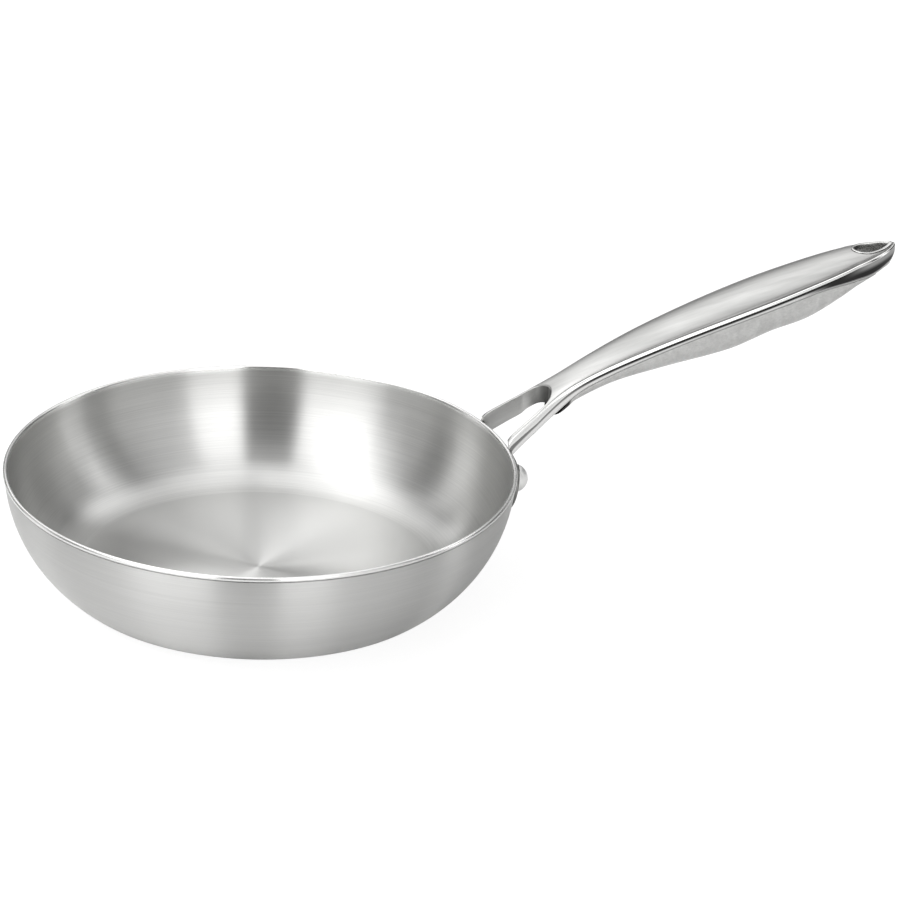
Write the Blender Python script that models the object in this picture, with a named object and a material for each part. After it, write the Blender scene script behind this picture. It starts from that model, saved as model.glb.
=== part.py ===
"""A stainless steel pan with a deep, round wok-like wall and a long forked handle.

The pan stands on its flat base at z = 0 with its axis on Z, and the handle points along +X.
Two pressed steel skins are rolled together at the rim and hold an aluminium heat disc between
their floors.  A curved flange lies against the wall, held by two riveted studs.  The handle
forks into two arms at the flange; its crowned top runs on to the hanging eye at the tip, and
a hollow underside closes it from below.
"""
import math

import bmesh
import bpy
from mathutils import Matrix, Vector

# Fits, metres
GAP = 0.0003                  # between pieces that touch

# Pan body, metres and degrees
RIM_RADIUS = 0.120            # outer side of the rolled rim
PAN_HEIGHT = 0.0573           # underside of the base to the top of the rim
RIM_BEAD_RADIUS = 0.00115     # half the thickness of the rolled rim
RIM_OVERHANG = 0.0006         # how far the rim stands out over the wall
WALL_ARC_RADIUS = 0.0715      # the wall's outside, one arc from the rim to the base corner
WALL_LEAN = 3.0               # the wall's slope just under the rim, off the vertical
BASE_CORNER_RADIUS = 0.012    # where the wall turns into the flat base
SKIN = 0.0008                 # sheet of both bowls
FLOOR_HEIGHT = 0.0067         # cooking floor above the underside of the base
FLOOR_CORNER_RADIUS = 0.025   # inside, where the floor turns up into the wall
CORE_REACH = 0.0047           # how far the aluminium disc reaches past the flat of the base

# Flange and riveted studs, metres and degrees
FLANGE_THICKNESS = 0.0022
FLANGE_HEIGHT = 0.0204
FLANGE_WIDTH = 0.0880         # along the wall, from end to end
FLANGE_DROP = 0.0018          # its upper edge below the middle of the rim
RIVET_SPREAD = 0.0600         # along the wall, from stud to stud
RIVET_DROP = 0.0088           # stud axis below the middle of the rim
RIVET_HEAD_RADIUS = 0.0063
RIVET_HEAD_HEIGHT = 0.0046
RIVET_SHANK_RADIUS = 0.0030
RIVET_DIMPLE_RADIUS = 0.0014
RIVET_DIMPLE_DEPTH = 0.0009

# Handle lines, metres and degrees; lengths run from the flange, heights from the rim's middle
HANDLE_REACH = 0.2038         # flange to the tip
ARM_REACH = 0.0246            # flange to the closed end of the fork
FORK_WIDTH = 0.0338           # over both arms at the flange
ARM_WALL = 0.0027
ARM_HEIGHT = 0.0073           # outer side of an arm, below the edge line
NECK_WIDTH = 0.0190
GRIP_WIDTH = 0.0306
TIP_WIDTH = 0.0224            # where the grip's sides start to close into the tip
TIP_LENGTH = 0.0245
EDGE_AT_FLANGE = 0.0028       # edge line of the top at the flange
GRIP_SLOPE = 12.4             # how steeply the edge line rises along the straight part of the grip
NECK_RISE = 0.0225            # what the bend at the neck adds to that rise
NECK_BEND = 0.040             # length over which the bend fades out
TIP_DROOP = 0.0014
CROWN_AT_FORK = 0.0018
CROWN_AT_GRIP = 0.0050
CROWN_AT_TIP = 0.0020
EDGE_BAND = 0.0041            # height of the polished edge along the grip
TIP_BAND = 0.0080             # its height around the tip
EDGE_CHAMFER = 0.0006
ARM_KEEL = 0.0015             # how much deeper an arm is on its inner side
TIP_ROUND = 0.0045            # length over which the tip's top and bottom round off
TOP_WALL = 0.0020             # thickness of the top over the hollow grip
WEB = 0.0030                  # solid neck between the fork and the hollow
HOLLOW_END = 0.0010           # solid metal between the hollow and the closing tip
TIP_FACET = 0.0002            # what the tip's small flat front takes off the handle's length
LEAST_WIDTH = 0.0001

# Handle underside, metres; depths run down from the edge line
UNDERSIDE_INSET = 0.0007      # its sides stand back from the top's edge
UNDERSIDE_WALL = 0.0012
UNDERSIDE_START = 0.0055      # behind the closed end of the fork
UNDERSIDE_END = 0.0135        # ahead of the tip
NECK_DEPTH = 0.0106
BELLY_DEPTH = 0.0207
FINGER_DEPTH = 0.0196
PALM_DEPTH = 0.0202
LEAST_DROP = 0.0006           # least height of the underside, at its far end
MOUTH_CLEARANCE = 0.0020      # how far its hollow is cut past its open mouth

# Hanging eye, metres
EYE_WIDTH = 0.0098
EYE_LENGTH = 0.0180
EYE_ROUND = 0.0060            # length of its round end
EYE_TO_TIP = 0.0034
SLEEVE_WALL = 0.0009
SLEEVE_LIP = 0.0003           # how far the sleeve stands proud of the top

# Facet counts
ROUND_STEPS = 60              # around the pan
RIVET_STEPS = 24
CROWN_STEPS = 14              # across the handle's top
BELLY_STEPS = 14              # across the handle's underside
HANDLE_STEPS = 38             # along the handle

# Values that follow from the dimensions
RIM_MIDDLE = PAN_HEIGHT - RIM_BEAD_RADIUS
WALL_RADIUS = RIM_RADIUS - RIM_OVERHANG
LEAN = math.radians(WALL_LEAN)
ARC_AXIS_R = WALL_RADIUS - WALL_ARC_RADIUS * math.cos(LEAN)
ARC_AXIS_Z = RIM_MIDDLE + WALL_ARC_RADIUS * math.sin(LEAN)
WALL = 2 * SKIN + GAP
FLANGE_FACE = WALL_RADIUS + GAP + FLANGE_THICKNESS
X_CROTCH = FLANGE_FACE + ARM_REACH
X_TIP = FLANGE_FACE + HANDLE_REACH
X_CLOSING = X_TIP - TIP_LENGTH


# Plain tools

def clear_scene():
    """Remove every object of the open scene."""
    for thing in list(bpy.data.objects):
        bpy.data.objects.remove(thing, do_unlink=True)


def steel(name, colour, roughness, metallic=1.0):
    """A plain metal material."""
    material = bpy.data.materials.new(name)
    material.use_nodes = True
    shader = material.node_tree.nodes["Principled BSDF"]
    shader.inputs["Base Color"].default_value = (*colour, 1.0)
    shader.inputs["Roughness"].default_value = roughness
    shader.inputs["Metallic"].default_value = metallic
    return material


def body_from(name, bm, material=None, angle=35.0):
    """Make a named object from a bmesh, with outward faces and smooth round stretches."""
    bmesh.ops.recalc_face_normals(bm, faces=bm.faces)
    mesh = bpy.data.meshes.new(name)
    bm.to_mesh(mesh)
    bm.free()
    mesh.shade_smooth()
    mesh.set_sharp_from_angle(angle=math.radians(angle))
    body = bpy.data.objects.new(name, mesh)
    bpy.context.collection.objects.link(body)
    if material:
        mesh.materials.append(material)
    return body


def turned(name, outline, steps, material=None):
    """Turn an outline of (radius, height) points around Z; closed unless it starts on the axis."""
    bm = bmesh.new()
    verts = [bm.verts.new((r, 0.0, z)) for r, z in outline]
    pairs = list(zip(verts, verts[1:]))
    if outline[0][0] > 0.0:
        pairs.append((verts[-1], verts[0]))
    edges = [bm.edges.new(pair) for pair in pairs]
    bmesh.ops.spin(bm, geom=verts + edges, cent=(0, 0, 0), axis=(0, 0, 1), dvec=(0, 0, 0),
                   angle=2 * math.pi, steps=steps, use_merge=False, use_duplicate=False)
    bmesh.ops.remove_doubles(bm, verts=bm.verts, dist=0.000002)
    return body_from(name, bm, material)


def lofted(name, sections, material=None, angle=35.0):
    """Skin equal rings of points into one closed body with flat ends."""
    bm = bmesh.new()
    rings = [[bm.verts.new(point) for point in section] for section in sections]
    for ring, following in zip(rings, rings[1:]):
        for i in range(len(ring)):
            j = (i + 1) % len(ring)
            bm.faces.new((ring[i], ring[j], following[j], following[i]))
    bm.faces.new(rings[0])
    bm.faces.new(rings[-1])
    return body_from(name, bm, material, angle)


def cut(body, cutter):
    """Take the cutter's space out of the body."""
    cutter.hide_render = True
    cutter.display_type = "WIRE"
    taken = body.modifiers.new("cut_" + cutter.name, "BOOLEAN")
    taken.operation = "DIFFERENCE"
    taken.solver = "EXACT"
    taken.object = cutter


def arc(axis_r, axis_z, radius, start, end, steps):
    """Points of an arc in the (radius, height) plane, angles in radians above the horizontal."""
    points = []
    for i in range(steps + 1):
        angle = start + (end - start) * i / steps
        points.append((axis_r + radius * math.cos(angle), axis_z + radius * math.sin(angle)))
    return points


def through(stations, x):
    """A smooth line through (x, value) stations, cubic between them and level past the ends."""
    if x <= stations[0][0]:
        return stations[0][1]
    if x >= stations[-1][0]:
        return stations[-1][1]
    slopes = [0.0]
    for before, after in zip(stations, stations[2:]):
        slopes.append((after[1] - before[1]) / (after[0] - before[0]))
    slopes.append(0.0)
    for i, (low, high) in enumerate(zip(stations, stations[1:])):
        if x <= high[0]:
            span = high[0] - low[0]
            t = (x - low[0]) / span
            return (low[1] * (1 + 2 * t) * (1 - t) ** 2 + slopes[i] * span * t * (1 - t) ** 2
                    + high[1] * t * t * (3 - 2 * t) - slopes[i + 1] * span * t * t * (1 - t))


# Pan body

def wall_angle(height, radius):
    """The arc angle at which a wall surface of this arc radius passes a height."""
    return math.asin((height - ARC_AXIS_Z) / radius)


def wall_radius_at(height, offset=0.0):
    """Radius of the wall's outside at a height, moved out by an offset."""
    radius = WALL_ARC_RADIUS + offset
    return ARC_AXIS_R + radius * math.cos(wall_angle(height, radius))


def base_corner(offset):
    """Where the wall's arc, moved in by an offset, turns into the base corner, as an angle."""
    sine = (ARC_AXIS_Z - BASE_CORNER_RADIUS) / (WALL_ARC_RADIUS - BASE_CORNER_RADIUS)
    turn = -math.asin(sine)
    reach = WALL_ARC_RADIUS - BASE_CORNER_RADIUS
    axis_r = ARC_AXIS_R + reach * math.cos(turn)
    return turn, axis_r, BASE_CORNER_RADIUS - offset


def outer_side(offset, top):
    """Outline of the pan's outside, moved in by an offset, from a height down to the axis."""
    radius = WALL_ARC_RADIUS - offset
    turn, corner_r, corner_radius = base_corner(offset)
    points = arc(ARC_AXIS_R, ARC_AXIS_Z, radius, wall_angle(top, radius), turn, 9)
    points += arc(corner_r, BASE_CORNER_RADIUS, corner_radius, turn, -math.pi / 2, 3)[1:]
    points.append((0.0, offset))
    return points


def floor_corner():
    """Axis of the inside corner and the angle at which it meets the wall's inside."""
    axis_z = FLOOR_HEIGHT + FLOOR_CORNER_RADIUS
    reach = WALL_ARC_RADIUS - WALL - FLOOR_CORNER_RADIUS
    turn = math.asin((axis_z - ARC_AXIS_Z) / reach)
    return ARC_AXIS_R + reach * math.cos(turn), axis_z, turn


def inner_side(offset, top):
    """Outline of the pan's inside, moved out by an offset, from the axis up to a height."""
    radius = WALL_ARC_RADIUS - WALL + offset
    axis_r, axis_z, turn = floor_corner()
    corner = FLOOR_CORNER_RADIUS + offset
    points = [(0.0, FLOOR_HEIGHT - offset)]
    points += arc(axis_r, axis_z, corner, -math.pi / 2, turn, 5)
    points += arc(ARC_AXIS_R, ARC_AXIS_Z, radius, turn, wall_angle(top, radius), 7)[1:]
    return points


def make_inner_bowl(material):
    """The pressed inner bowl, its edge rolled outwards into the rim."""
    bead_r = RIM_RADIUS - RIM_BEAD_RADIUS
    under_bead = RIM_MIDDLE - RIM_BEAD_RADIUS
    outline = inner_side(0.0, under_bead)
    outline += arc(bead_r, RIM_MIDDLE, RIM_BEAD_RADIUS, math.radians(190), math.radians(-100), 9)
    outline += reversed(inner_side(SKIN, under_bead - GAP))
    return turned("inner_bowl", outline, ROUND_STEPS, material)


def make_heat_disc(material):
    """The aluminium disc pressed between the two floors."""
    inset = SKIN + GAP
    corner_r, corner_z, _ = floor_corner()
    upper = FLOOR_CORNER_RADIUS + inset
    _, base_r, base_corner_radius = base_corner(inset)
    disc_radius = base_r + CORE_REACH
    upper_turn = -math.acos((disc_radius - corner_r) / upper)
    lower_turn = -math.acos((disc_radius - base_r) / base_corner_radius)
    outline = [(0.0, FLOOR_HEIGHT - inset)]
    outline += arc(corner_r, corner_z, upper, -math.pi / 2, upper_turn, 1)
    outline += arc(base_r, BASE_CORNER_RADIUS, base_corner_radius, lower_turn, -math.pi / 2, 2)
    outline.append((0.0, inset))
    return turned("heat_disc", outline, ROUND_STEPS, material)


def make_outer_bowl(material):
    """The pressed outer bowl, its lip caught under the rolled rim."""
    top = RIM_MIDDLE - RIM_BEAD_RADIUS - GAP
    outline = outer_side(0.0, top)
    outline.reverse()
    outline += outer_side(SKIN, top)
    return turned("outer_bowl", outline, ROUND_STEPS, material)


# Flange and studs

def on_wall(along, height, offset):
    """A point on the wall's outside: distance along the rim, height, and offset outwards."""
    angle = along / WALL_RADIUS
    radius = wall_radius_at(height, offset)
    return Vector((radius * math.cos(angle), radius * math.sin(angle), height))


def make_flange(material):
    """The curved steel plate that carries the handle, with round ends."""
    columns = 26
    rows = 5
    half_width = FLANGE_WIDTH / 2
    half_height = FLANGE_HEIGHT / 2
    middle = RIM_MIDDLE - FLANGE_DROP - half_height
    straight = half_width - half_height
    sides = []
    for offset in (GAP, GAP + FLANGE_THICKNESS):
        grid = []
        for i in range(columns + 1):
            along = -half_width * math.cos(math.pi * i / columns)
            past = max(abs(along) - straight, 0.0) / half_height
            reach = half_height * math.sqrt(max(1.0 - past * past, 0.0))
            reach = max(reach, half_height * 0.12)
            grid.append([on_wall(along, middle + reach * (2 * j / rows - 1), offset)
                         for j in range(rows + 1)])
        sides.append(grid)
    bm = bmesh.new()
    inner, outer = [[[bm.verts.new(p) for p in column] for column in grid] for grid in sides]
    for face in (inner, outer):
        for left, right in zip(face, face[1:]):
            for j in range(rows):
                bm.faces.new((left[j], right[j], right[j + 1], left[j + 1]))
    rim = [(i, 0) for i in range(columns)] + [(columns, j) for j in range(rows)]
    rim += [(i, rows) for i in range(columns, 0, -1)] + [(0, j) for j in range(rows, 0, -1)]
    for (i, j), (k, m) in zip(rim, rim[1:] + rim[:1]):
        bm.faces.new((inner[i][j], inner[k][m], outer[k][m], outer[i][j]))
    return body_from("handle_flange", bm, material)


def rivet_place(side):
    """Where a stud stands on the wall: its foot, and a matrix whose Z points out of the wall."""
    along = side * RIVET_SPREAD / 2
    height = RIM_MIDDLE - RIVET_DROP
    foot = on_wall(along, height, 0.0)
    slope = wall_angle(height, WALL_ARC_RADIUS)
    turn = along / WALL_RADIUS
    outward = Vector((math.cos(slope) * math.cos(turn), math.cos(slope) * math.sin(turn),
                      math.sin(slope)))
    return Matrix.Translation(foot) @ outward.to_track_quat("Z", "Y").to_matrix().to_4x4()


def make_rivet(name, side, material):
    """A stud welded to the wall, its outer end spread into a dimpled dome over the flange."""
    seat = GAP + FLANGE_THICKNESS + GAP
    crown = seat + RIVET_HEAD_HEIGHT
    ball = (RIVET_HEAD_RADIUS ** 2 + RIVET_HEAD_HEIGHT ** 2) / (2 * RIVET_HEAD_HEIGHT)
    outline = [(0.0, GAP), (RIVET_SHANK_RADIUS, GAP), (RIVET_SHANK_RADIUS, seat)]
    steps = 6
    for i in range(steps + 1):
        r = RIVET_HEAD_RADIUS + (RIVET_DIMPLE_RADIUS - RIVET_HEAD_RADIUS) * i / steps
        outline.append((r, crown - ball + math.sqrt(ball ** 2 - r ** 2)))
    outline.append((RIVET_DIMPLE_RADIUS * 0.5, crown - RIVET_DIMPLE_DEPTH))
    outline.append((0.0, crown - RIVET_DIMPLE_DEPTH))
    rivet = turned(name, outline, RIVET_STEPS, material)
    rivet.data.transform(rivet_place(side))
    return rivet


def bore_for_rivet(flange, side):
    """The flange's clearance hole around a stud."""
    radius = RIVET_SHANK_RADIUS + GAP
    deep = 2 * FLANGE_THICKNESS
    bore = turned(f"bore_{'near' if side < 0 else 'far'}",
                  [(0.0, -deep), (radius, -deep), (radius, 2 * deep), (0.0, 2 * deep)],
                  RIVET_STEPS)
    bore.data.transform(rivet_place(side))
    cut(flange, bore)


# Handle lines

def grip_at(share):
    """A place between the fork's closed end and the tip, as x."""
    return X_CROTCH + share * (X_TIP - X_CROTCH)


def ease(t):
    """Smooth step from 0 to 1."""
    t = min(max(t, 0.0), 1.0)
    return t * t * (3 - 2 * t)


def edge_height(x):
    """Height of the edge line, where the crowned top meets the polished edge."""
    past = x - FLANGE_FACE
    straight = math.tan(math.radians(GRIP_SLOPE)) * past
    bend = NECK_RISE * (1 - math.exp(-past / NECK_BEND))
    droop = TIP_DROOP * ease(1 - (X_TIP - x) / TIP_LENGTH)
    return RIM_MIDDLE + EDGE_AT_FLANGE + straight + bend - droop


def half_width(x):
    """Half the handle's width: spread at the fork, drawn in at the neck, full at the grip."""
    if x > X_CLOSING:
        closing = min((x - X_CLOSING) / TIP_LENGTH, 1.0)
        return TIP_WIDTH / 2 * (1 - closing ** 1.6) ** 0.8
    near_tip = (X_CLOSING - X_CROTCH) / (X_TIP - X_CROTCH)
    stations = [(FLANGE_FACE - ARM_REACH, FORK_WIDTH + (FORK_WIDTH - NECK_WIDTH) * 0.85),
                (FLANGE_FACE, FORK_WIDTH),
                (grip_at(-0.01), NECK_WIDTH * 1.12),
                (grip_at(0.06), NECK_WIDTH),
                (grip_at(0.29), NECK_WIDTH + (GRIP_WIDTH - NECK_WIDTH) * 0.60),
                (grip_at(0.56), GRIP_WIDTH),
                (grip_at(0.74), GRIP_WIDTH - (GRIP_WIDTH - TIP_WIDTH) * 0.26),
                (grip_at(near_tip), TIP_WIDTH),
                (grip_at(1.0), TIP_WIDTH * 0.2)]
    return through(stations, x) / 2


def tip_fade(x):
    """Falls from 1 to 0 over the last few millimetres, as a quarter circle."""
    past = min(max((x - X_TIP + TIP_ROUND) / TIP_ROUND, 0.0), 1.0)
    return math.sqrt(1 - past * past)


def crown(x):
    """How far the middle of the top stands above the edge line."""
    stations = [(FLANGE_FACE, CROWN_AT_FORK), (grip_at(0.0), CROWN_AT_FORK * 1.15),
                (grip_at(0.55), CROWN_AT_GRIP), (grip_at(0.86), CROWN_AT_GRIP * 0.76),
                (X_TIP, CROWN_AT_TIP)]
    return through(stations, x) * (0.15 + 0.85 * tip_fade(x))


def band(x):
    """Height of the upright edge under the edge line: tall at the arms and at the tip."""
    stations = [(FLANGE_FACE, ARM_HEIGHT), (grip_at(0.0), ARM_HEIGHT * 0.96),
                (grip_at(0.09), EDGE_BAND), (grip_at(0.74), EDGE_BAND),
                (grip_at(0.90), TIP_BAND), (X_TIP, TIP_BAND * 0.8)]
    return through(stations, x) * (0.35 + 0.65 * tip_fade(x))


def keel(x):
    """How much deeper the top's underside is inside than at its edge, along the arms."""
    return ARM_KEEL * (1 - ease((x - X_CROTCH + UNDERSIDE_START) / (2 * UNDERSIDE_START - GAP)))


def depth(x):
    """Depth of the underside below the edge line, a wave that fits the fingers."""
    stations = [(grip_at(0.0), NECK_DEPTH * 0.84), (grip_at(0.06), NECK_DEPTH),
                (grip_at(0.17), NECK_DEPTH * 1.06),
                (grip_at(0.30), (NECK_DEPTH + BELLY_DEPTH) / 2 * 0.98),
                (grip_at(0.50), BELLY_DEPTH), (grip_at(0.62), FINGER_DEPTH),
                (grip_at(0.73), PALM_DEPTH), (grip_at(0.82), PALM_DEPTH * 0.80),
                (X_TIP - UNDERSIDE_END, TIP_BAND * 1.12), (X_TIP, TIP_BAND)]
    return through(stations, x)


def crown_height(x, y):
    """Height of the crowned top over a point of the plan."""
    width = half_width(x)
    share = min(abs(y) / max(width, LEAST_WIDTH), 1.0)
    return edge_height(x) + crown(x) * math.sqrt(1 - share * share)


# Handle pieces

def top_section(x):
    """Ring of the handle's top at x: crown, upright edges and flat underside."""
    width = half_width(x)
    edge = edge_height(x)
    rise = crown(x)
    bottom = edge - band(x)
    chamfer = min(EDGE_CHAMFER, width * 0.4)
    ring = []
    for i in range(CROWN_STEPS + 1):
        angle = math.pi * i / CROWN_STEPS
        ring.append((-width * math.cos(angle), edge + rise * math.sin(angle)))
    ring.append((width, bottom + chamfer))
    inner = max(width - ARM_WALL, width * 0.3)
    ring.append((width - chamfer, bottom))
    ring += [(y, bottom - keel(x)) for y in (inner, -inner)]
    ring.append((chamfer - width, bottom))
    ring.append((-width, bottom + chamfer))
    return [(x, y, z) for y, z in ring]


def flange_clearance():
    """Cutter that ends both arms on the flange's round face."""
    reach = GAP + FLANGE_THICKNESS + GAP
    top = RIM_MIDDLE - FLANGE_DROP
    low = top - 2 * ARM_HEIGHT
    outline = [(0.0, low)]
    for i in range(7):
        height = low + (top - low) * i / 6
        outline.append((wall_radius_at(height, reach), height))
    outline.append((outline[-1][0], top + 2 * ARM_HEIGHT))
    outline.append((0.0, top + 2 * ARM_HEIGHT))
    return turned("flange_clearance", outline, 2 * ROUND_STEPS)


def handle_stations():
    """Places along the handle, closer together at the neck and the tip."""
    first = FLANGE_FACE - 2 * ARM_WALL
    last = X_TIP - TIP_FACET
    places = []
    for i in range(HANDLE_STEPS + 1):
        share = i / HANDLE_STEPS
        share -= 0.055 * math.sin(2 * math.pi * share)
        places.append(first + (last - first) * share)
    return places


def make_handle_top(material):
    """The cast fork and crowned top of the handle, in one piece to the tip."""
    places = handle_stations()
    top = lofted("handle_top", [top_section(x) for x in places], material)
    cut(top, flange_clearance())
    cut(top, fork_slot())
    cut(top, grip_hollow())
    cut(top, eye_plug("eye_in_top", SLEEVE_WALL + GAP))
    return top


def slot_half_width(x):
    """Half the gap between the two arms."""
    return half_width(x) - ARM_WALL


def fork_slot():
    """Cutter for the gap between the arms, with a round closed end."""
    end_radius = slot_half_width(X_CROTCH - NECK_WIDTH * 0.38)
    round_start = X_CROTCH - end_radius
    low = RIM_MIDDLE - 2 * ARM_HEIGHT
    high = edge_height(X_CROTCH) + 2 * ARM_HEIGHT
    outline = []
    steps = 5
    first = WALL_RADIUS - 2 * ARM_WALL
    for i in range(steps + 1):
        x = first + (round_start - first) * i / steps
        outline.append((x, -slot_half_width(x)))
    side = slot_half_width(round_start)
    for i in range(1, 10):
        angle = -math.pi / 2 + math.pi * i / 10
        outline.append((round_start + end_radius * math.cos(angle), side * math.sin(angle)))
    outline += [(x, -y) for x, y in reversed(outline[:steps + 1])]
    return lofted("fork_slot", [[(x, y, z) for x, y in outline] for z in (low, high)])


def grip_hollow():
    """Cutter for the hollow under the crowned top."""
    first = X_CROTCH + WEB + UNDERSIDE_START
    last = X_CLOSING - HOLLOW_END
    sections = []
    steps = 20
    for i in range(steps + 1):
        x = first + (last - first) * i / steps
        width = half_width(x) - TOP_WALL
        edge = edge_height(x)
        rise = crown(x) - TOP_WALL * 0.6
        bottom = edge - band(x) - 2 * EDGE_BAND
        ring = []
        for j in range(9):
            angle = math.pi * j / 8
            ring.append((x, -width * math.cos(angle), edge - TOP_WALL * 0.4
                         + rise * math.sin(angle)))
        ring += [(x, width, bottom), (x, -width, bottom)]
        sections.append(ring)
    return lofted("grip_hollow", sections)


def make_handle_underside(material):
    """The hollow lower half of the grip, an open trough welded under the top."""
    first = X_CROTCH + UNDERSIDE_START
    last = X_TIP - UNDERSIDE_END
    steps = 26
    sections = []
    for i in range(steps + 1):
        x = first + (last - first) * i / steps
        sections.append(trough_ring(x, 0.0, 0.0))
    trough = lofted("handle_underside", sections, material)
    hollow_first = first + UNDERSIDE_WALL
    hollow_last = X_CLOSING - HOLLOW_END
    sections = []
    for i in range(steps + 1):
        x = hollow_first + (hollow_last - hollow_first) * i / steps
        sections.append(trough_ring(x, UNDERSIDE_WALL, MOUTH_CLEARANCE))
    cut(trough, lofted("trough_hollow", sections))
    cut(trough, eye_plug("eye_in_underside", SLEEVE_WALL + GAP))
    return trough


def trough_ring(x, inset, above):
    """Ring of the underside at x: a full curve below and a flat mouth above."""
    width = half_width(x) - UNDERSIDE_INSET - inset
    mouth = edge_height(x) - band(x) - GAP
    drop = max(depth(x) - band(x) - GAP - inset, LEAST_DROP)
    ring = []
    for i in range(BELLY_STEPS + 1):
        angle = math.pi * i / BELLY_STEPS
        across = math.copysign(abs(math.cos(angle)) ** 0.85, math.cos(angle))
        down = math.sin(angle) ** 0.85
        ring.append((x, width * across, mouth - drop * down))
    if above:
        ring += [(x, -width, mouth + above), (x, width, mouth + above)]
    return ring


def eye_outline(grow):
    """Plan of the hanging eye: round towards the pan, pointed towards the tip."""
    right = X_TIP - EYE_TO_TIP
    widest = right - EYE_LENGTH + EYE_ROUND
    half = EYE_WIDTH / 2
    plan = []
    for i in range(7):
        angle = math.pi / 2 + math.pi * i / 6
        plan.append((widest + EYE_ROUND * math.cos(angle), half * math.sin(angle)))
    point = EYE_LENGTH - EYE_ROUND
    for i in range(1, 7):
        share = i / 6
        plan.append((widest + point * share, -half * (1 - share ** 1.6) ** 0.8))
    for i in range(5, 0, -1):
        share = i / 6
        plan.append((widest + point * share, half * (1 - share ** 1.6) ** 0.8))
    return moved_out(plan, grow)


def moved_out(plan, distance):
    """Move each point of a closed plan outwards along the mean normal of its two sides."""
    count = len(plan)
    area = sum(plan[i - 1][0] * plan[i][1] - plan[i][0] * plan[i - 1][1] for i in range(count))
    sign = 1.0 if area > 0 else -1.0
    moved = []
    for i, (x, y) in enumerate(plan):
        before = Vector(plan[i - 1])
        after = Vector(plan[(i + 1) % count])
        first = (Vector((x, y)) - before).normalized()
        second = (after - Vector((x, y))).normalized()
        normal = Vector((first.y + second.y, -first.x - second.x)).normalized() * sign
        reach = distance / max(math.sqrt((1 + first.dot(second)) / 2), 0.5)
        moved.append((x + normal.x * reach, y + normal.y * reach))
    return moved


def eye_plug(name, grow):
    """Cutter for the hanging eye."""
    low = edge_height(X_CLOSING) - 2 * BELLY_DEPTH
    high = edge_height(X_TIP) + 2 * CROWN_AT_GRIP
    return lofted(name, [[(x, y, z) for x, y in eye_outline(grow)] for z in (low, high)])


def make_eye_sleeve(material):
    """The thin sleeve that lines the hanging eye, its upper lip just proud of the top."""
    outer = eye_outline(SLEEVE_WALL)
    inner = eye_outline(0.0)
    rings = []
    for plan, level in ((inner, "low"), (inner, "high"), (outer, "high"), (outer, "low")):
        ring = []
        for (x, y), (_, outer_y) in zip(plan, outer):
            if level == "high":
                z = crown_height(min(x, X_TIP - EYE_TO_TIP), outer_y) + SLEEVE_LIP
            else:
                z = edge_height(x) - max(depth(x), band(x)) - SLEEVE_LIP
            ring.append((x, y, z))
        rings.append(ring)
    bm = bmesh.new()
    loops = [[bm.verts.new(point) for point in ring] for ring in rings]
    count = len(loops[0])
    for ring, following in zip(loops, loops[1:] + loops[:1]):
        for i in range(count):
            j = (i + 1) % count
            bm.faces.new((ring[i], ring[j], following[j], following[i]))
    return body_from("eye_sleeve", bm, material)


# The whole pan

clear_scene()
satin = steel("satin_steel", (0.62, 0.62, 0.61), 0.32)
outer_steel = steel("outer_steel", (0.60, 0.60, 0.59), 0.30)
aluminium = steel("aluminium", (0.75, 0.75, 0.76), 0.45)
flange_steel = steel("flange_steel", (0.64, 0.64, 0.63), 0.22)
rivet_steel = steel("rivet_steel", (0.70, 0.70, 0.69), 0.14)
handle_steel = steel("handle_steel", (0.63, 0.63, 0.62), 0.26)
underside_steel = steel("underside_steel", (0.57, 0.57, 0.56), 0.34)
sleeve_steel = steel("sleeve_steel", (0.66, 0.66, 0.65), 0.16)

make_inner_bowl(satin)
make_heat_disc(aluminium)
make_outer_bowl(outer_steel)
plate = make_flange(flange_steel)
for rivet_name, rivet_side in (("rivet_near", -1), ("rivet_far", 1)):
    bore_for_rivet(plate, rivet_side)
    make_rivet(rivet_name, rivet_side, rivet_steel)
make_handle_top(handle_steel)
make_handle_underside(underside_steel)
make_eye_sleeve(sleeve_steel)
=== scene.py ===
"""A stainless steel wok pan with a forked handle, dressed over its solids and lit in a plain studio."""

import math

import bmesh
import bpy
import numpy as np
from mathutils import Matrix, Vector


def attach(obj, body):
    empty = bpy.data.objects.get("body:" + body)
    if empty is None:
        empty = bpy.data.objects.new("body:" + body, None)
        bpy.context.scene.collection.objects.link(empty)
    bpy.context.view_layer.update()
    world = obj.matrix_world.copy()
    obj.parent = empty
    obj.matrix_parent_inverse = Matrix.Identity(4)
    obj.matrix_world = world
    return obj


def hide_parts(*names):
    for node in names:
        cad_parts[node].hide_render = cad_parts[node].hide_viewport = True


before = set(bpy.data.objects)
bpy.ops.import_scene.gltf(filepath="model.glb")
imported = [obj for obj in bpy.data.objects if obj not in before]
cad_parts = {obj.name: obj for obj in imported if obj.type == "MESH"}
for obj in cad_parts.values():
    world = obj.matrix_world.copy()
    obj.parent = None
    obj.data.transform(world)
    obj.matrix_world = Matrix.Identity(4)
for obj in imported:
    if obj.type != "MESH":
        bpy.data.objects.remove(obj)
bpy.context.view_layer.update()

# Inner bowl.
# One pressed sheet of steel, brushed in circles on a lathe while it turned, then its edge
# rolled outwards into a bead and polished.  Everything that is cooked touches this skin.
GAP = 0.0003
RIM_RADIUS = 0.120
PAN_HEIGHT = 0.0573
BEAD_RADIUS = 0.00115
BEAD_OVERHANG = 0.0006
BEAD_START = math.radians(190)
BEAD_END = math.radians(-100)
RIM_MIDDLE = PAN_HEIGHT - BEAD_RADIUS
UNDER_BEAD = RIM_MIDDLE - BEAD_RADIUS
WALL_RADIUS = RIM_RADIUS - BEAD_OVERHANG
ARC_RADIUS = 0.0715
LEAN = math.radians(3.0)
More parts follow.
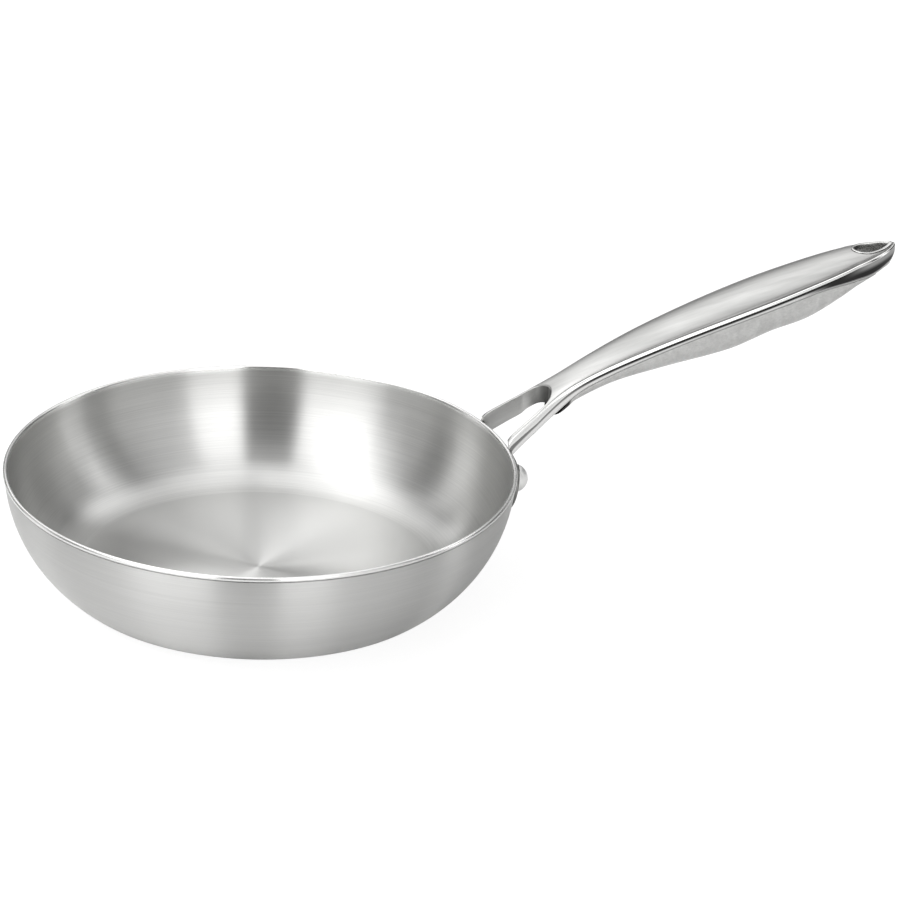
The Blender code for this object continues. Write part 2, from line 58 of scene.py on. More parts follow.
ARC_R = WALL_RADIUS - ARC_RADIUS * math.cos(LEAN)
ARC_Z = RIM_MIDDLE + ARC_RADIUS * math.sin(LEAN)
SKIN = 0.0008
FLOOR_HEIGHT = 0.0067
FLOOR_ROWS = 8
CORNER_RADIUS = 0.025
ROUND = 384
GROOVE_DEPTH = 0.0001
CLOUD_SPREAD = (0.12, 0.12, 0.06)
# Base colour of polished parts: a painted highlight, brighter than the same steel elsewhere.
PAINTED_HIGHLIGHT = (0.86, 0.86, 0.85)


def arc(axis_r, axis_z, radius, start, end, count):
    """Circle arc as (r, z) rows: the axis plus radius times (cos, sin) of evenly spaced angles."""
    angle = np.linspace(start, end, count)
    return np.stack([axis_r + radius * np.cos(angle), axis_z + radius * np.sin(angle)], 1)


def wall_turn(height, radius):
    """Angle on the wall's arc of this radius at a height: the arcsine of height over radius."""
    return math.asin((height - ARC_Z) / radius)


def inside_line(offset, top, corner_count, wall_count):
    """Floor, corner arc and wall arc of the pan's inside, moved out by an offset, as (r, z) rows."""
    radius = ARC_RADIUS - 2 * SKIN - GAP + offset
    axis_z = FLOOR_HEIGHT + CORNER_RADIUS
    reach = ARC_RADIUS - 2 * SKIN - GAP - CORNER_RADIUS
    turn = math.asin((axis_z - ARC_Z) / reach)
    axis_r = ARC_R + reach * math.cos(turn)
    floor = np.stack([np.linspace(0.0, axis_r, FLOOR_ROWS + 1)[:-1],
                      np.full(FLOOR_ROWS, FLOOR_HEIGHT - offset)], 1)
    corner = arc(axis_r, axis_z, CORNER_RADIUS + offset, -math.pi / 2, turn, corner_count)
    wall = arc(ARC_R, ARC_Z, radius, turn, wall_turn(top, radius), wall_count)
    return np.concatenate([floor, corner, wall[1:]])


def mesh_piece(name, points, faces, sharp=None):
    """A smooth-shaded object from (n, 3) points and rows of point numbers, creased where sharp."""
    mesh = bpy.data.meshes.new(name)
    mesh.from_pydata(points.tolist(), [], faces)
    mesh.update()
    mesh.shade_smooth()
    if sharp:
        mesh.set_sharp_from_angle(angle=math.radians(sharp))
    piece = bpy.data.objects.new(name, mesh)
    bpy.context.scene.collection.objects.link(piece)
    return piece


def mark_points(piece, label, values):
    """Keeps one number per point on a piece, for its material to read."""
    held = piece.data.attributes.new(label, "FLOAT", "POINT")
    held.data.foreach_set("value", values.ravel().astype(np.float32))


def ring_quads(rings, steps, closed=False):
    """Faces over a grid of rings: each point, the next on its ring, and the two beside them."""
    i = np.arange(rings if closed else rings - 1)[:, None]
    k = np.arange(steps)[None, :]
    beside = (i + 1) % rings * steps
    beyond = (k + 1) % steps
    return np.stack([i * steps + k, i * steps + beyond, beside + beyond, beside + k], 2)


def fan(pole, ring, flipped=False):
    """Triangles from a pole to every two neighbours on a ring, against its direction or along it."""
    rows = np.stack([np.full(len(ring), pole), np.roll(ring, -1), ring], 1)
    return (rows[:, [0, 2, 1]] if flipped else rows).tolist()


def turned_piece(name, line, steps, sharp=None, **marks):
    """An (r, z) line from axis to axis, carried round Z: x, y = r cos a, r sin a; a mark per row."""
    angle = np.arange(steps) * 2 * math.pi / steps
    inner = line[1:-1]
    rings = np.stack([inner[:, :1] * np.cos(angle), inner[:, :1] * np.sin(angle),
                      np.repeat(inner[:, 1:], steps, 1)], 2).reshape(-1, 3)
    points = np.concatenate([rings, [[0, 0, line[0, 1]], [0, 0, line[-1, 1]]]])
    first_ring = np.arange(steps)
    last_ring = first_ring + len(rings) - steps
    faces = ring_quads(len(inner), steps).reshape(-1, 4).tolist()
    faces += fan(len(rings), first_ring) + fan(len(rings) + 1, last_ring, flipped=True)
    piece = mesh_piece(name, points, faces, sharp)
    for label, mark in marks.items():
        mark_points(piece, label, np.append(np.repeat(mark[1:-1], steps), (mark[0], mark[-1])))
    return piece


def math_node(nodes, links, operation, *values):
    """A Math node on sockets or plain numbers."""
    node = nodes.new("ShaderNodeMath")
    node.operation = operation
    for i, value in enumerate(values):
        if isinstance(value, (int, float)):
            node.inputs[i].default_value = value
        else:
            links.new(value, node.inputs[i])
    return node.outputs[0]


def brushing_group():
    """Brushed lines: fine noise drawn out along one direction and packed close across it.

    A softer, wider noise of the same kind, the cloud, lies over the lines.
    """
    group = bpy.data.node_groups.new("brushing", "ShaderNodeTree")
    face = group.interface
    face.new_socket("Along", in_out="INPUT", socket_type="NodeSocketVector")
    face.new_socket("Across", in_out="INPUT", socket_type="NodeSocketFloat")
    face.new_socket("Colour", in_out="INPUT", socket_type="NodeSocketColor")
    for label, value in (("Line Density", 1400.0), ("Line Strength", 0.05), ("Roughness", 0.3),
                         ("Roughness Spread", 0.05), ("Cloud", 0.04)):
        face.new_socket(label, in_out="INPUT", socket_type="NodeSocketFloat").default_value = value
    face.new_socket("Colour", in_out="OUTPUT", socket_type="NodeSocketColor")
    face.new_socket("Roughness", in_out="OUTPUT", socket_type="NodeSocketFloat")
    face.new_socket("Height", in_out="OUTPUT", socket_type="NodeSocketFloat")
    nodes, links = group.nodes, group.links
    given = nodes.new("NodeGroupInput")
    made = nodes.new("NodeGroupOutput")
    drawn = nodes.new("ShaderNodeCombineXYZ")
    links.new(math_node(nodes, links, "MULTIPLY", given.outputs["Across"],
                        given.outputs["Line Density"]), drawn.inputs["Z"])
    stretched = nodes.new("ShaderNodeVectorMath")
    stretched.operation = "ADD"
    links.new(given.outputs["Along"], stretched.inputs[0])
    links.new(drawn.outputs[0], stretched.inputs[1])
    fine = nodes.new("ShaderNodeTexNoise")
    fine.inputs["Scale"].default_value = 1.0
    fine.inputs["Detail"].default_value = 6.0
    fine.inputs["Roughness"].default_value = 0.75
    links.new(stretched.outputs[0], fine.inputs["Vector"])
    cloud = nodes.new("ShaderNodeTexNoise")
    cloud.inputs["Scale"].default_value = 3.0
    cloud.inputs["Detail"].default_value = 3.0
    banked = nodes.new("ShaderNodeVectorMath")
    banked.operation = "MULTIPLY_ADD"
    links.new(stretched.outputs[0], banked.inputs[0])
    banked.inputs[1].default_value = CLOUD_SPREAD
    links.new(banked.outputs[0], cloud.inputs["Vector"])

    def centred(source, strength_socket):
        """Strength times (noise minus one half), plus one."""
        less = math_node(nodes, links, "SUBTRACT", source, 0.5)
        return math_node(nodes, links, "MULTIPLY_ADD", less, given.outputs[strength_socket], 1.0)

    shade = math_node(nodes, links, "MULTIPLY", centred(fine.outputs["Fac"], "Line Strength"),
                      centred(cloud.outputs["Fac"], "Cloud"))
    rough = math_node(nodes, links, "MULTIPLY", given.outputs["Roughness"],
                      centred(fine.outputs["Fac"], "Roughness Spread"))
    tinted = nodes.new("ShaderNodeVectorMath")
    tinted.operation = "SCALE"
    links.new(given.outputs["Colour"], tinted.inputs[0])
    links.new(shade, tinted.inputs["Scale"])
    links.new(tinted.outputs[0], made.inputs["Colour"])
    links.new(rough, made.inputs["Roughness"])
    links.new(fine.outputs["Fac"], made.inputs["Height"])
    return group


BRUSHING = brushing_group()


def steel(name, colour, roughness, anisotropy=0.0, bump=0.0, **marks):
    """A metal whose brushing group feeds colour, roughness and bump, before a piece links it up."""
    material = bpy.data.materials.new(name)
    material.use_nodes = True
    nodes, links = material.node_tree.nodes, material.node_tree.links
    shader = nodes["Principled BSDF"]
    shader.inputs["Metallic"].default_value = 1.0
    shader.inputs["Anisotropic"].default_value = anisotropy
    grain = nodes.new("ShaderNodeGroup")
    grain.node_tree = BRUSHING
    grain.name = "brushing"
    grain.inputs["Colour"].default_value = (*colour, 1.0)
    grain.inputs["Roughness"].default_value = roughness
    for label, value in marks.items():
        grain.inputs[label.replace("_", " ").title()].default_value = value
    links.new(grain.outputs["Colour"], shader.inputs["Base Color"])
    links.new(grain.outputs["Roughness"], shader.inputs["Roughness"])
    if bump:
        relief = nodes.new("ShaderNodeBump")
        relief.inputs["Strength"].default_value = bump
        relief.inputs["Distance"].default_value = GROOVE_DEPTH
        links.new(grain.outputs["Height"], relief.inputs["Height"])
        links.new(relief.outputs[0], shader.inputs["Normal"])
    return material


def brush_round(material, along_scale):
    """Links the brushing to run round Z: across it counts radius plus height, along it x and y."""
    nodes, links = material.node_tree.nodes, material.node_tree.links
    where = nodes.new("ShaderNodeTexCoord")
    parts = nodes.new("ShaderNodeSeparateXYZ")
    links.new(where.outputs["Object"], parts.inputs[0])
    square = math_node(nodes, links, "MULTIPLY", parts.outputs["X"], parts.outputs["X"])
    square = math_node(nodes, links, "MULTIPLY_ADD", parts.outputs["Y"], parts.outputs["Y"], square)
    radius = math_node(nodes, links, "SQRT", square)
    across = math_node(nodes, links, "ADD", radius, parts.outputs["Z"])
    grain = nodes["brushing"]
    links.new(across, grain.inputs["Across"])
    flat = nodes.new("ShaderNodeVectorMath")
    flat.operation = "MULTIPLY"
    flat.inputs[1].default_value = (along_scale, along_scale, 0.0)
    links.new(where.outputs["Object"], flat.inputs[0])
    links.new(flat.outputs[0], grain.inputs["Along"])
    grooves = nodes.new("ShaderNodeTangent")
    grooves.direction_type = "RADIAL"
    grooves.axis = "Z"
    links.new(grooves.outputs[0], nodes["Principled BSDF"].inputs["Tangent"])
    nodes["Principled BSDF"].inputs["Anisotropic Rotation"].default_value = 0.25


def mixed_by(label, material, socket, target):
    """Mixes what feeds a shader socket towards a target by an attribute of the piece."""
    nodes, links = material.node_tree.nodes, material.node_tree.links
    mark = nodes.new("ShaderNodeAttribute")
    mark.attribute_name = label
    mixed = nodes.new("ShaderNodeMix")
    if socket == "Base Color":
        mixed.data_type = "RGBA"
        target = (*target, 1.0)
    fed = nodes["Principled BSDF"].inputs[socket]
    links.new(mark.outputs["Fac"], mixed.inputs["Factor"])
    links.new(fed.links[0].from_socket, mixed.inputs["A"])
    mixed.inputs["B"].default_value = target
    links.new(mixed.outputs["Result"], fed)


def polished_where(material, gloss, bright):
    """Lower roughness, and a brighter base colour that is a painted highlight, where the piece's
    attribute for them says so.
    """
    mixed_by("polish", material, "Roughness", gloss)
    mixed_by("polish", material, "Base Color", bright)


def paint_shade(material, dark):
    """Painted shade: a dark tone mixed into the base colour where the piece's shade attribute says so.
    """
    mixed_by("shade", material, "Base Color", dark)


bead = arc(RIM_RADIUS - BEAD_RADIUS, RIM_MIDDLE, BEAD_RADIUS, BEAD_START, BEAD_END, 28)
inside = inside_line(0.0, UNDER_BEAD, 30, 44)
inner_line = np.concatenate([inside, bead, inside_line(SKIN, UNDER_BEAD - GAP, 10, 14)[::-1]])
# The polished bead gets a painted highlight.  The floor's disc is painted a touch darker: partly a
# finish of its own with a crisp edge, partly painted shade for its dimmer reflection.
on_bead = np.zeros(len(inner_line))
on_bead[len(inside):len(inside) + len(bead)] = 1.0
on_floor = np.zeros(len(inner_line))
on_floor[:FLOOR_ROWS + 1] = 1.0
inner_bowl = turned_piece("inner_bowl_brushed", inner_line, ROUND, sharp=50, polish=on_bead,
                          shade=on_floor)
satin = steel("satin_inside", (0.66, 0.66, 0.65), 0.30, anisotropy=1.0, bump=0.05,
              line_density=1900.0, line_strength=0.48, roughness_spread=0.30, cloud=0.10)
brush_round(satin, 14.0)
# Painted highlight on the bead, painted shade on the floor's disc.
polished_where(satin, 0.26, PAINTED_HIGHLIGHT)
paint_shade(satin, (0.62, 0.62, 0.61))
inner_bowl.data.materials.append(satin)
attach(inner_bowl, "root")
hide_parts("inner_bowl")

# Heat disc.
# A thick aluminium plate pressed between the two floors, so that the base heats evenly.  Both
# skins close over it, so its solid stays as it is, with a plain rolled finish.
disc_metal = steel("disc_aluminium", (0.75, 0.75, 0.76), 0.42, bump=0.04, line_density=900.0,
                   line_strength=0.08, roughness_spread=0.2, cloud=0.05)
brush_round(disc_metal, 20.0)
disc_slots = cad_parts["heat_disc"].data.materials
disc_slots.clear()
disc_slots.append(disc_metal)

# Outer bowl.
# The second pressed skin, one deep curve from the flat base to the lip that is caught under the
# rolled rim.  It is ground to a fine satin in circles, softer than the inside.
BASE_CORNER = 0.012
OUTER_TOP = UNDER_BEAD - GAP


def outside_line(offset, top, wall_count, corner_count):
    """Wall arc, base corner arc and flat base, moved in by an offset, from the lip to the axis."""
    radius = ARC_RADIUS - offset
    turn = -math.asin((ARC_Z - BASE_CORNER) / (ARC_RADIUS - BASE_CORNER))
    corner_r = ARC_R + (ARC_RADIUS - BASE_CORNER) * math.cos(turn)
    wall = arc(ARC_R, ARC_Z, radius, wall_turn(top, radius), turn, wall_count)
    corner = arc(corner_r, BASE_CORNER, BASE_CORNER - offset, turn, -math.pi / 2, corner_count)
    base = np.stack([np.linspace(corner_r, 0.0, 6)[1:], np.full(5, offset)], 1)
    return np.concatenate([wall, corner[1:], base])


outer_line = np.concatenate([outside_line(0.0, OUTER_TOP, 48, 16)[::-1],
                             outside_line(SKIN, OUTER_TOP, 12, 6)])
outer_bowl = turned_piece("outer_bowl_satin", outer_line, ROUND, sharp=50)
outer_metal = steel("satin_outside", (0.62, 0.62, 0.61), 0.38, anisotropy=1.0, bump=0.03,
                    line_density=1900.0, line_strength=0.30, roughness_spread=0.3, cloud=0.06)
brush_round(outer_metal, 16.0)
outer_bowl.data.materials.append(outer_metal)
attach(outer_bowl, "root")
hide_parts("outer_bowl")

# Flange.
# A steel plate with round ends, pressed to the wall's own curve and polished.  Its near black
# colour is painted shade, for the shadow between plate and wall.  The two studs hold it
# against the pan, and both arms of the handle end on it.
FLANGE_THICKNESS = 0.0022
FLANGE_HALF_HEIGHT = 0.0102
FLANGE_HALF_WIDTH = 0.0440
FLANGE_TOP = RIM_MIDDLE - 0.0018
FLANGE_MIDDLE = FLANGE_TOP - FLANGE_HALF_HEIGHT
FLANGE_EDGE = 0.0006
FLANGE_STEPS = 144
SIDE_SPREAD = 4
TOP_ROWS = 10
EDGE_ROWS = 9
BACK_ROWS = 4


def on_wall(along, height, offset):
    """A point on the wall's outside: angle is along over the rim's radius, offset goes outwards."""
    radius = ARC_RADIUS + offset
    r = ARC_R + radius * np.cos(np.arcsin((height - ARC_Z) / radius))
    angle = along / WALL_RADIUS
    return np.stack([r * np.cos(angle), r * np.sin(angle), height], -1)


# Each ring is the plate's outline drawn in by a share: over its face, round its edge, and back.
turn = np.linspace(0, 2 * math.pi, FLANGE_STEPS + 1)[:-1]
bulge = np.linspace(math.pi / 2, -math.pi / 2, EDGE_ROWS)
share = np.concatenate([np.linspace(0, 1, TOP_ROWS + 2)[1:-1], np.ones(EDGE_ROWS),
                        np.linspace(1, 0, BACK_ROWS + 2)[1:-1]])[:, None]
inset = np.full(len(share), -FLANGE_EDGE)
inset[TOP_ROWS:-BACK_ROWS] *= 1 - np.cos(bulge)
lift = np.concatenate([np.ones(TOP_ROWS), 0.5 + 0.5 * np.sin(bulge), np.zeros(BACK_ROWS)])
straight = (FLANGE_HALF_WIDTH - FLANGE_HALF_HEIGHT) * np.clip(np.cos(turn) * SIDE_SPREAD, -1, 1)
round_end = FLANGE_HALF_HEIGHT + inset[:, None]
along = share * (straight + round_end * np.cos(turn))
upward = share * round_end * np.sin(turn)
offset = GAP + FLANGE_THICKNESS * lift[:, None] + 0 * turn
rings = on_wall(along, FLANGE_MIDDLE + upward, offset)
poles = on_wall(np.zeros(2), np.full(2, FLANGE_MIDDLE), GAP + np.array([FLANGE_THICKNESS, 0]))
first_ring = np.arange(FLANGE_STEPS)
last_ring = first_ring + (len(rings) - 1) * FLANGE_STEPS
pole = len(rings) * FLANGE_STEPS
faces = ring_quads(len(rings), FLANGE_STEPS)[..., [0, 3, 2, 1]].reshape(-1, 4).tolist()
faces += fan(pole, first_ring, flipped=True) + fan(pole + 1, last_ring)
flange = mesh_piece("flange_plate", np.concatenate([rings.reshape(-1, 3), poles]), faces, 60)
# Painted shade: the plate's base colour is near black.
flange_metal = steel("polished_flange", (0.20, 0.20, 0.195), 0.34, bump=0.02, line_density=1200.0,
                     line_strength=0.06, roughness_spread=0.4, cloud=0.06)
brush_round(flange_metal, 30.0)
flange.data.materials.append(flange_metal)
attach(flange, "root")
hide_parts("handle_flange")

# Studs.
# Each is welded to the wall and passes through the flange, and its outer end is spread into a
# round head.  The punch that spreads it leaves a small dimple in the middle.  The head's near
# white colour is a painted highlight, and painted shade darkens the dimple.
HEAD_RADIUS = 0.0066
HEAD_HEIGHT = 0.0054
SHANK_RADIUS = 0.0030
DOME_ROWS = 40
DIMPLE_RADIUS = 0.0014
DIMPLE_DEPTH = 0.0009
DIMPLE_MOUTH = DIMPLE_RADIUS * 1.1
DIMPLE_LIP = DIMPLE_RADIUS * 1.2
DIMPLE_STEP = 0.0001
DIMPLE_ROWS = 12
DIMPLE_SHADE_ROWS = 9
STUD_SPREAD = 0.0600
STUD_HEIGHT = RIM_MIDDLE - 0.0088

# The head is a cap of a ball down to the dimple's lip, and the dimple a raised cosine.
seat = GAP + FLANGE_THICKNESS + GAP
ball = (HEAD_RADIUS ** 2 + HEAD_HEIGHT ** 2) / (2 * HEAD_HEIGHT)
dome_r = HEAD_RADIUS * np.sin(np.linspace(math.pi / 2, 0, DOME_ROWS))
dome_r = dome_r[dome_r > DIMPLE_LIP]
dome = np.stack([dome_r, seat + HEAD_HEIGHT - ball + np.sqrt(ball ** 2 - dome_r ** 2)], 1)
dimple_r = np.linspace(DIMPLE_MOUTH, 0, DIMPLE_ROWS)
sunk = np.cos(np.clip(dimple_r / DIMPLE_MOUTH, 0, 1) * math.pi / 2) ** 1.2 * DIMPLE_DEPTH
dimple = np.stack([dimple_r, seat + HEAD_HEIGHT - DIMPLE_STEP - sunk], 1)
stud_line = np.concatenate([[[0, GAP], [SHANK_RADIUS, GAP], [SHANK_RADIUS, seat]], dome, dimple])
# Painted highlight: the head's base colour is near white.
stud_metal = steel("polished_stud", (0.90, 0.90, 0.89), 0.46, bump=0.02, line_density=900.0,
                   line_strength=0.05, roughness_spread=0.4, cloud=0.05)
brush_round(stud_metal, 60.0)
# Painted shade in the dimple's last rows.
paint_shade(stud_metal, (0.06, 0.06, 0.06))
dimple_shade = np.zeros(len(stud_line))
dimple_shade[-DIMPLE_SHADE_ROWS:] = 1.0
for stud_name, side in (("rivet_near", -1), ("rivet_far", 1)):
    stud = turned_piece("stud_" + stud_name[6:], stud_line, 72, 40, shade=dimple_shade)
    from_middle = side * STUD_SPREAD / 2
    foot = Vector(on_wall(np.array(from_middle), np.array(STUD_HEIGHT), 0.0))
    slope = wall_turn(STUD_HEIGHT, ARC_RADIUS)
    round_angle = from_middle / WALL_RADIUS
    outward = Vector((math.cos(slope) * math.cos(round_angle),
                      math.cos(slope) * math.sin(round_angle), math.sin(slope)))
    upright = outward.to_track_quat("Z", "Y").to_matrix().to_4x4()
    stud.data.transform(Matrix.Translation(foot) @ upright)
    stud.data.materials.append(stud_metal)
    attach(stud, "root")
    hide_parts(stud_name)

# Handle top.
# One steel casting: two arms that close into a crowned grip and run on to the tip.  Its back is
# brushed lengthwise to a satin, and its edges are polished to a narrow chamfer, whose bright
# colour is partly a painted highlight.  Painted shade lies on the band, the slot's end and the tip.
FACE = WALL_RADIUS + GAP + FLANGE_THICKNESS
FORK_LENGTH = 0.0246
HANDLE_REACH = 0.2038
CROTCH = FACE + FORK_LENGTH
TIP = FACE + HANDLE_REACH
CLOSING_LENGTH = 0.0245
CLOSING = TIP - CLOSING_LENGTH
FORK_WIDTH, NECK_WIDTH, GRIP_WIDTH, TIP_WIDTH = 0.0338, 0.0190, 0.0306, 0.0224
FORK_CROWN, GRIP_CROWN, TIP_CROWN = 0.0018, 0.0050, 0.0020
FORK_BAND, GRIP_BAND, TIP_BAND = 0.0073, 0.0041, 0.0080
SLOPE = math.tan(math.radians(12.4))
EDGE_LIFT = 0.0028
BEND_RISE = 0.0225
BEND_LENGTH = 0.040
TIP_DROOP = 0.0014
TIP_ROUND = 0.0045
ARM_WALL = 0.0027
ARM_KEEL = 0.0015
ARM_START = FACE - 0.004
KEEL_FADE = 0.0110
RIM_STEP = 0.0006
EYE_HALF = 0.0098 / 2
EYE_LENGTH = 0.0180
EYE_ROUND = 0.0060
EYE_END = TIP - 0.0034
SLEEVE_WALL = 0.0009
EDGE_ROUND = 0.0011
EDGE_FALL = 0.0012
ARM_FALL = 0.0022
EDGE_STEP = 0.0005
EDGE_LOW = 0.0006
BACK_LIFT = 0.0005
SLOT_LIP = 0.0005
EYE_LIP = 0.0003
END_ROUND = 0.0018
END_DROP = 0.0014
END_ROWS = 14


def along_grip(part):
    """A place between the fork's closed end and the tip, as x."""
    return CROTCH + part * (TIP - CROTCH)


def through(stations, x):
    """Cubic Hermite line through (x, value) stations, its slope at each the chord of its neighbours."""
    at, value = np.array(stations, float).T
    slope = np.zeros(len(at))
    slope[1:-1] = (value[2:] - value[:-2]) / (at[2:] - at[:-2])
    x = np.clip(x, at[0], at[-1])
    i = np.clip(np.searchsorted(at, x, side="left") - 1, 0, len(at) - 2)
    span = at[i + 1] - at[i]
    t = (x - at[i]) / span
    return (value[i] * (1 + 2 * t) * (1 - t) ** 2 + slope[i] * span * t * (1 - t) ** 2
            + value[i + 1] * t * t * (3 - 2 * t) - slope[i + 1] * span * t * t * (1 - t))


def ease(t):
    """Smooth step: t squared times (3 - 2t), held between 0 and 1."""
    t = np.clip(t, 0, 1)
    return t * t * (3 - 2 * t)


def pointed(share):
    """A blunt point: one less the share to the power 1.6, to the power 0.8."""
    return (1 - share ** 1.6) ** 0.8


def quarter_fall(t):
    """Fall of a quarter circle: one less the root of one less t squared, t held from 0 to 1."""
    t = np.clip(t, 0, 1)
    return 1 - np.sqrt(1 - t * t)


def edge_height(x):
    """Height of the edge line: a straight rise, an exponential bend at the neck, a droop at the tip."""
    past = x - FACE
    bend = BEND_RISE * (1 - np.exp(-past / BEND_LENGTH))
    droop = TIP_DROOP * ease(1 - (TIP - x) / CLOSING_LENGTH)
    return RIM_MIDDLE + EDGE_LIFT + SLOPE * past + bend - droop


def half_width(x):
    """Half the handle's width: a line through stations, and a blunt point that closes it."""
    line = through([(FACE - FORK_LENGTH, FORK_WIDTH + (FORK_WIDTH - NECK_WIDTH) * 0.85),
                    (FACE, FORK_WIDTH), (along_grip(-0.01), NECK_WIDTH * 1.12),
                    (along_grip(0.06), NECK_WIDTH),
                    (along_grip(0.29), NECK_WIDTH + (GRIP_WIDTH - NECK_WIDTH) * 0.60),
                    (along_grip(0.56), GRIP_WIDTH),
                    (along_grip(0.74), GRIP_WIDTH - (GRIP_WIDTH - TIP_WIDTH) * 0.26),
                    (CLOSING, TIP_WIDTH), (TIP, TIP_WIDTH * 0.2)], x) / 2
    closing = np.clip((x - CLOSING) / CLOSING_LENGTH, 0, 1)
    return np.where(x > CLOSING, TIP_WIDTH / 2 * pointed(closing), line)


def tip_fade(x):
    """A quarter circle that falls from 1 to 0 over the tip's last few millimetres."""
    return 1 - quarter_fall((x - TIP + TIP_ROUND) / TIP_ROUND)


def crown(x):
    """How far the middle of the back stands above the edge line."""
    return through([(FACE, FORK_CROWN), (CROTCH, FORK_CROWN * 1.15), (along_grip(0.55), GRIP_CROWN),
                    (along_grip(0.86), GRIP_CROWN * 0.76), (TIP, TIP_CROWN)],
                   x) * (0.15 + 0.85 * tip_fade(x))


def band(x):
    """Height of the upright edge under the edge line."""
    return through([(FACE, FORK_BAND), (CROTCH, FORK_BAND * 0.96), (along_grip(0.09), GRIP_BAND),
                    (along_grip(0.74), GRIP_BAND), (along_grip(0.90), TIP_BAND),
                    (TIP, TIP_BAND * 0.8)], x) * (0.35 + 0.65 * tip_fade(x))


def keel(x):
    """How much deeper the underside of an arm is on its inner side, fading out at the neck."""
    return ARM_KEEL * (1 - ease((x - CROTCH + KEEL_FADE) / (KEEL_FADE - 2 * GAP)))


def pan_face(height):
    """Radius of the arms' ends: on the flange's face, then stepped in to the rolled rim above it."""
    reach = ARC_RADIUS + 2 * GAP + FLANGE_THICKNESS
    held = np.minimum(height, FLANGE_TOP)
    on_flange = ARC_R + reach * np.cos(np.arcsin((held - ARC_Z) / reach))
    above = ease((height - FLANGE_TOP - GAP) / RIM_STEP)
    return on_flange + (RIM_RADIUS + GAP - on_flange) * above


def moved_in(outline, distance):
    """An open plan line moved along its own normals, to the right of its direction."""
    step = np.gradient(outline, axis=0)
    step /= np.linalg.norm(step, axis=1)[:, None]
    return outline + distance * np.stack([step[:, 1], -step[:, 0]], 1)


def nearest(x, y, outline):
    """Distance in plan from each (x, y) to the nearest straight piece of a dense outline."""
    found = np.full(x.shape, 1.0)
    pieces = np.concatenate([outline[:-1], np.diff(outline, axis=0)], 1)
    for part in np.array_split(pieces, 60):
        across_x = x[..., None] - part[:, 0]
        across_y = y[..., None] - part[:, 1]
        length = (part[:, 2] ** 2 + part[:, 3] ** 2).clip(1e-18)
        share = ((across_x * part[:, 2] + across_y * part[:, 3]) / length).clip(0, 1)
        gap = np.hypot(across_x - share * part[:, 2], across_y - share * part[:, 3]).min(-1)
        found = np.minimum(found, gap)
    return found


def side_of(outline, x):
    """Half width of a plan line at x, and nothing past its ends."""
    return np.interp(x, outline[:, 0], outline[:, 1], left=0.0, right=0.0)


def half_grid(name, ring, open_side, **marks):
    """A body made of an (n stations, m points, 3) half and its mirror in y = 0, closed at its ends.

    Where the side towards y = 0 is open, a wall joins each ring's last point to its first.
    """
    count, points = ring.shape[:2]
    wall = (open_side[:-1] | open_side[1:])[:, None]
    faces = ring_quads(count, points)[np.where(np.arange(points) == points - 1, wall, True)].tolist()
    flat = ring.reshape(-1, 3)
    marks = {label: mark.reshape(-1) for label, mark in marks.items()}
    for station in (0, count - 1):
        base = station * points + np.arange(points)
        faces += fan(len(flat), base, flipped=True)
        flat = np.concatenate([flat, [ring[station].mean(0)]])
        marks = {label: np.append(mark, mark[base].mean()) for label, mark in marks.items()}
    mirrored = [[v + len(flat) for v in reversed(face)] for face in faces]
    piece = mesh_piece(name, np.concatenate([flat, flat * (1, -1, 1)]), faces + mirrored)
    for label, mark in marks.items():
        mark_points(piece, label, np.concatenate([mark, mark]))
    return piece


def weld(piece, sharp):
    """Merges the points that coincide and turns every face outwards."""
    shape = bmesh.new()
    shape.from_mesh(piece.data)
    bmesh.ops.remove_doubles(shape, verts=shape.verts, dist=2e-6)
    bmesh.ops.recalc_face_normals(shape, faces=shape.faces)
    shape.to_mesh(piece.data)
    shape.free()
    piece.data.shade_smooth()
    piece.data.set_sharp_from_angle(angle=math.radians(sharp))


arms_x = np.linspace(ARM_START, CLOSING, 700)[:-1]
closing_x = TIP - CLOSING_LENGTH * (1 - np.sin(np.linspace(0, math.pi / 2, 500)))
edge_x = np.concatenate([arms_x, closing_x])
outer_edge = np.stack([edge_x, half_width(edge_x)], 1)
round_edge = moved_in(outer_edge, EDGE_ROUND)
slot_end = half_width(CROTCH - NECK_WIDTH * 0.38) - ARM_WALL
slot_start = CROTCH - slot_end
slot_arms_x = np.linspace(ARM_START, slot_start, 300)
slot_turn = np.linspace(math.pi / 2, 0, 300)[1:]
slot_edge = np.concatenate([
    np.stack([slot_arms_x, half_width(slot_arms_x) - ARM_WALL], 1),
    np.stack([slot_start + slot_end * np.cos(slot_turn),
              (half_width(slot_start) - ARM_WALL) * np.sin(slot_turn)], 1)])
eye_back = EYE_END - EYE_LENGTH
eye_turn = np.linspace(math.pi, math.pi / 2, 200)
eye_share = 1 - (1 - np.linspace(0, 1, 400)[1:]) ** 1.5
eye_edge = np.concatenate([
    np.stack([eye_back + EYE_ROUND + EYE_ROUND * np.cos(eye_turn),
              EYE_HALF * np.sin(eye_turn)], 1),
    np.stack([eye_back + EYE_ROUND + (EYE_LENGTH - EYE_ROUND) * eye_share,
              EYE_HALF * pointed(eye_share)], 1)])
hole_edge = moved_in(eye_edge, -SLEEVE_WALL - GAP)
hole_back, hole_front = hole_edge[0, 0], hole_edge[-1, 0]


def quarter(low, high, count, towards_high=True):
    """Places from low to high that crowd towards one end, as the sine of even angles."""
    spread = np.sin(np.linspace(0, math.pi / 2, count))
    return low + (high - low) * spread if towards_high else high - (high - low) * spread[::-1]


def even(low, high, count):
    """Evenly spaced places."""
    return np.linspace(low, high, count)


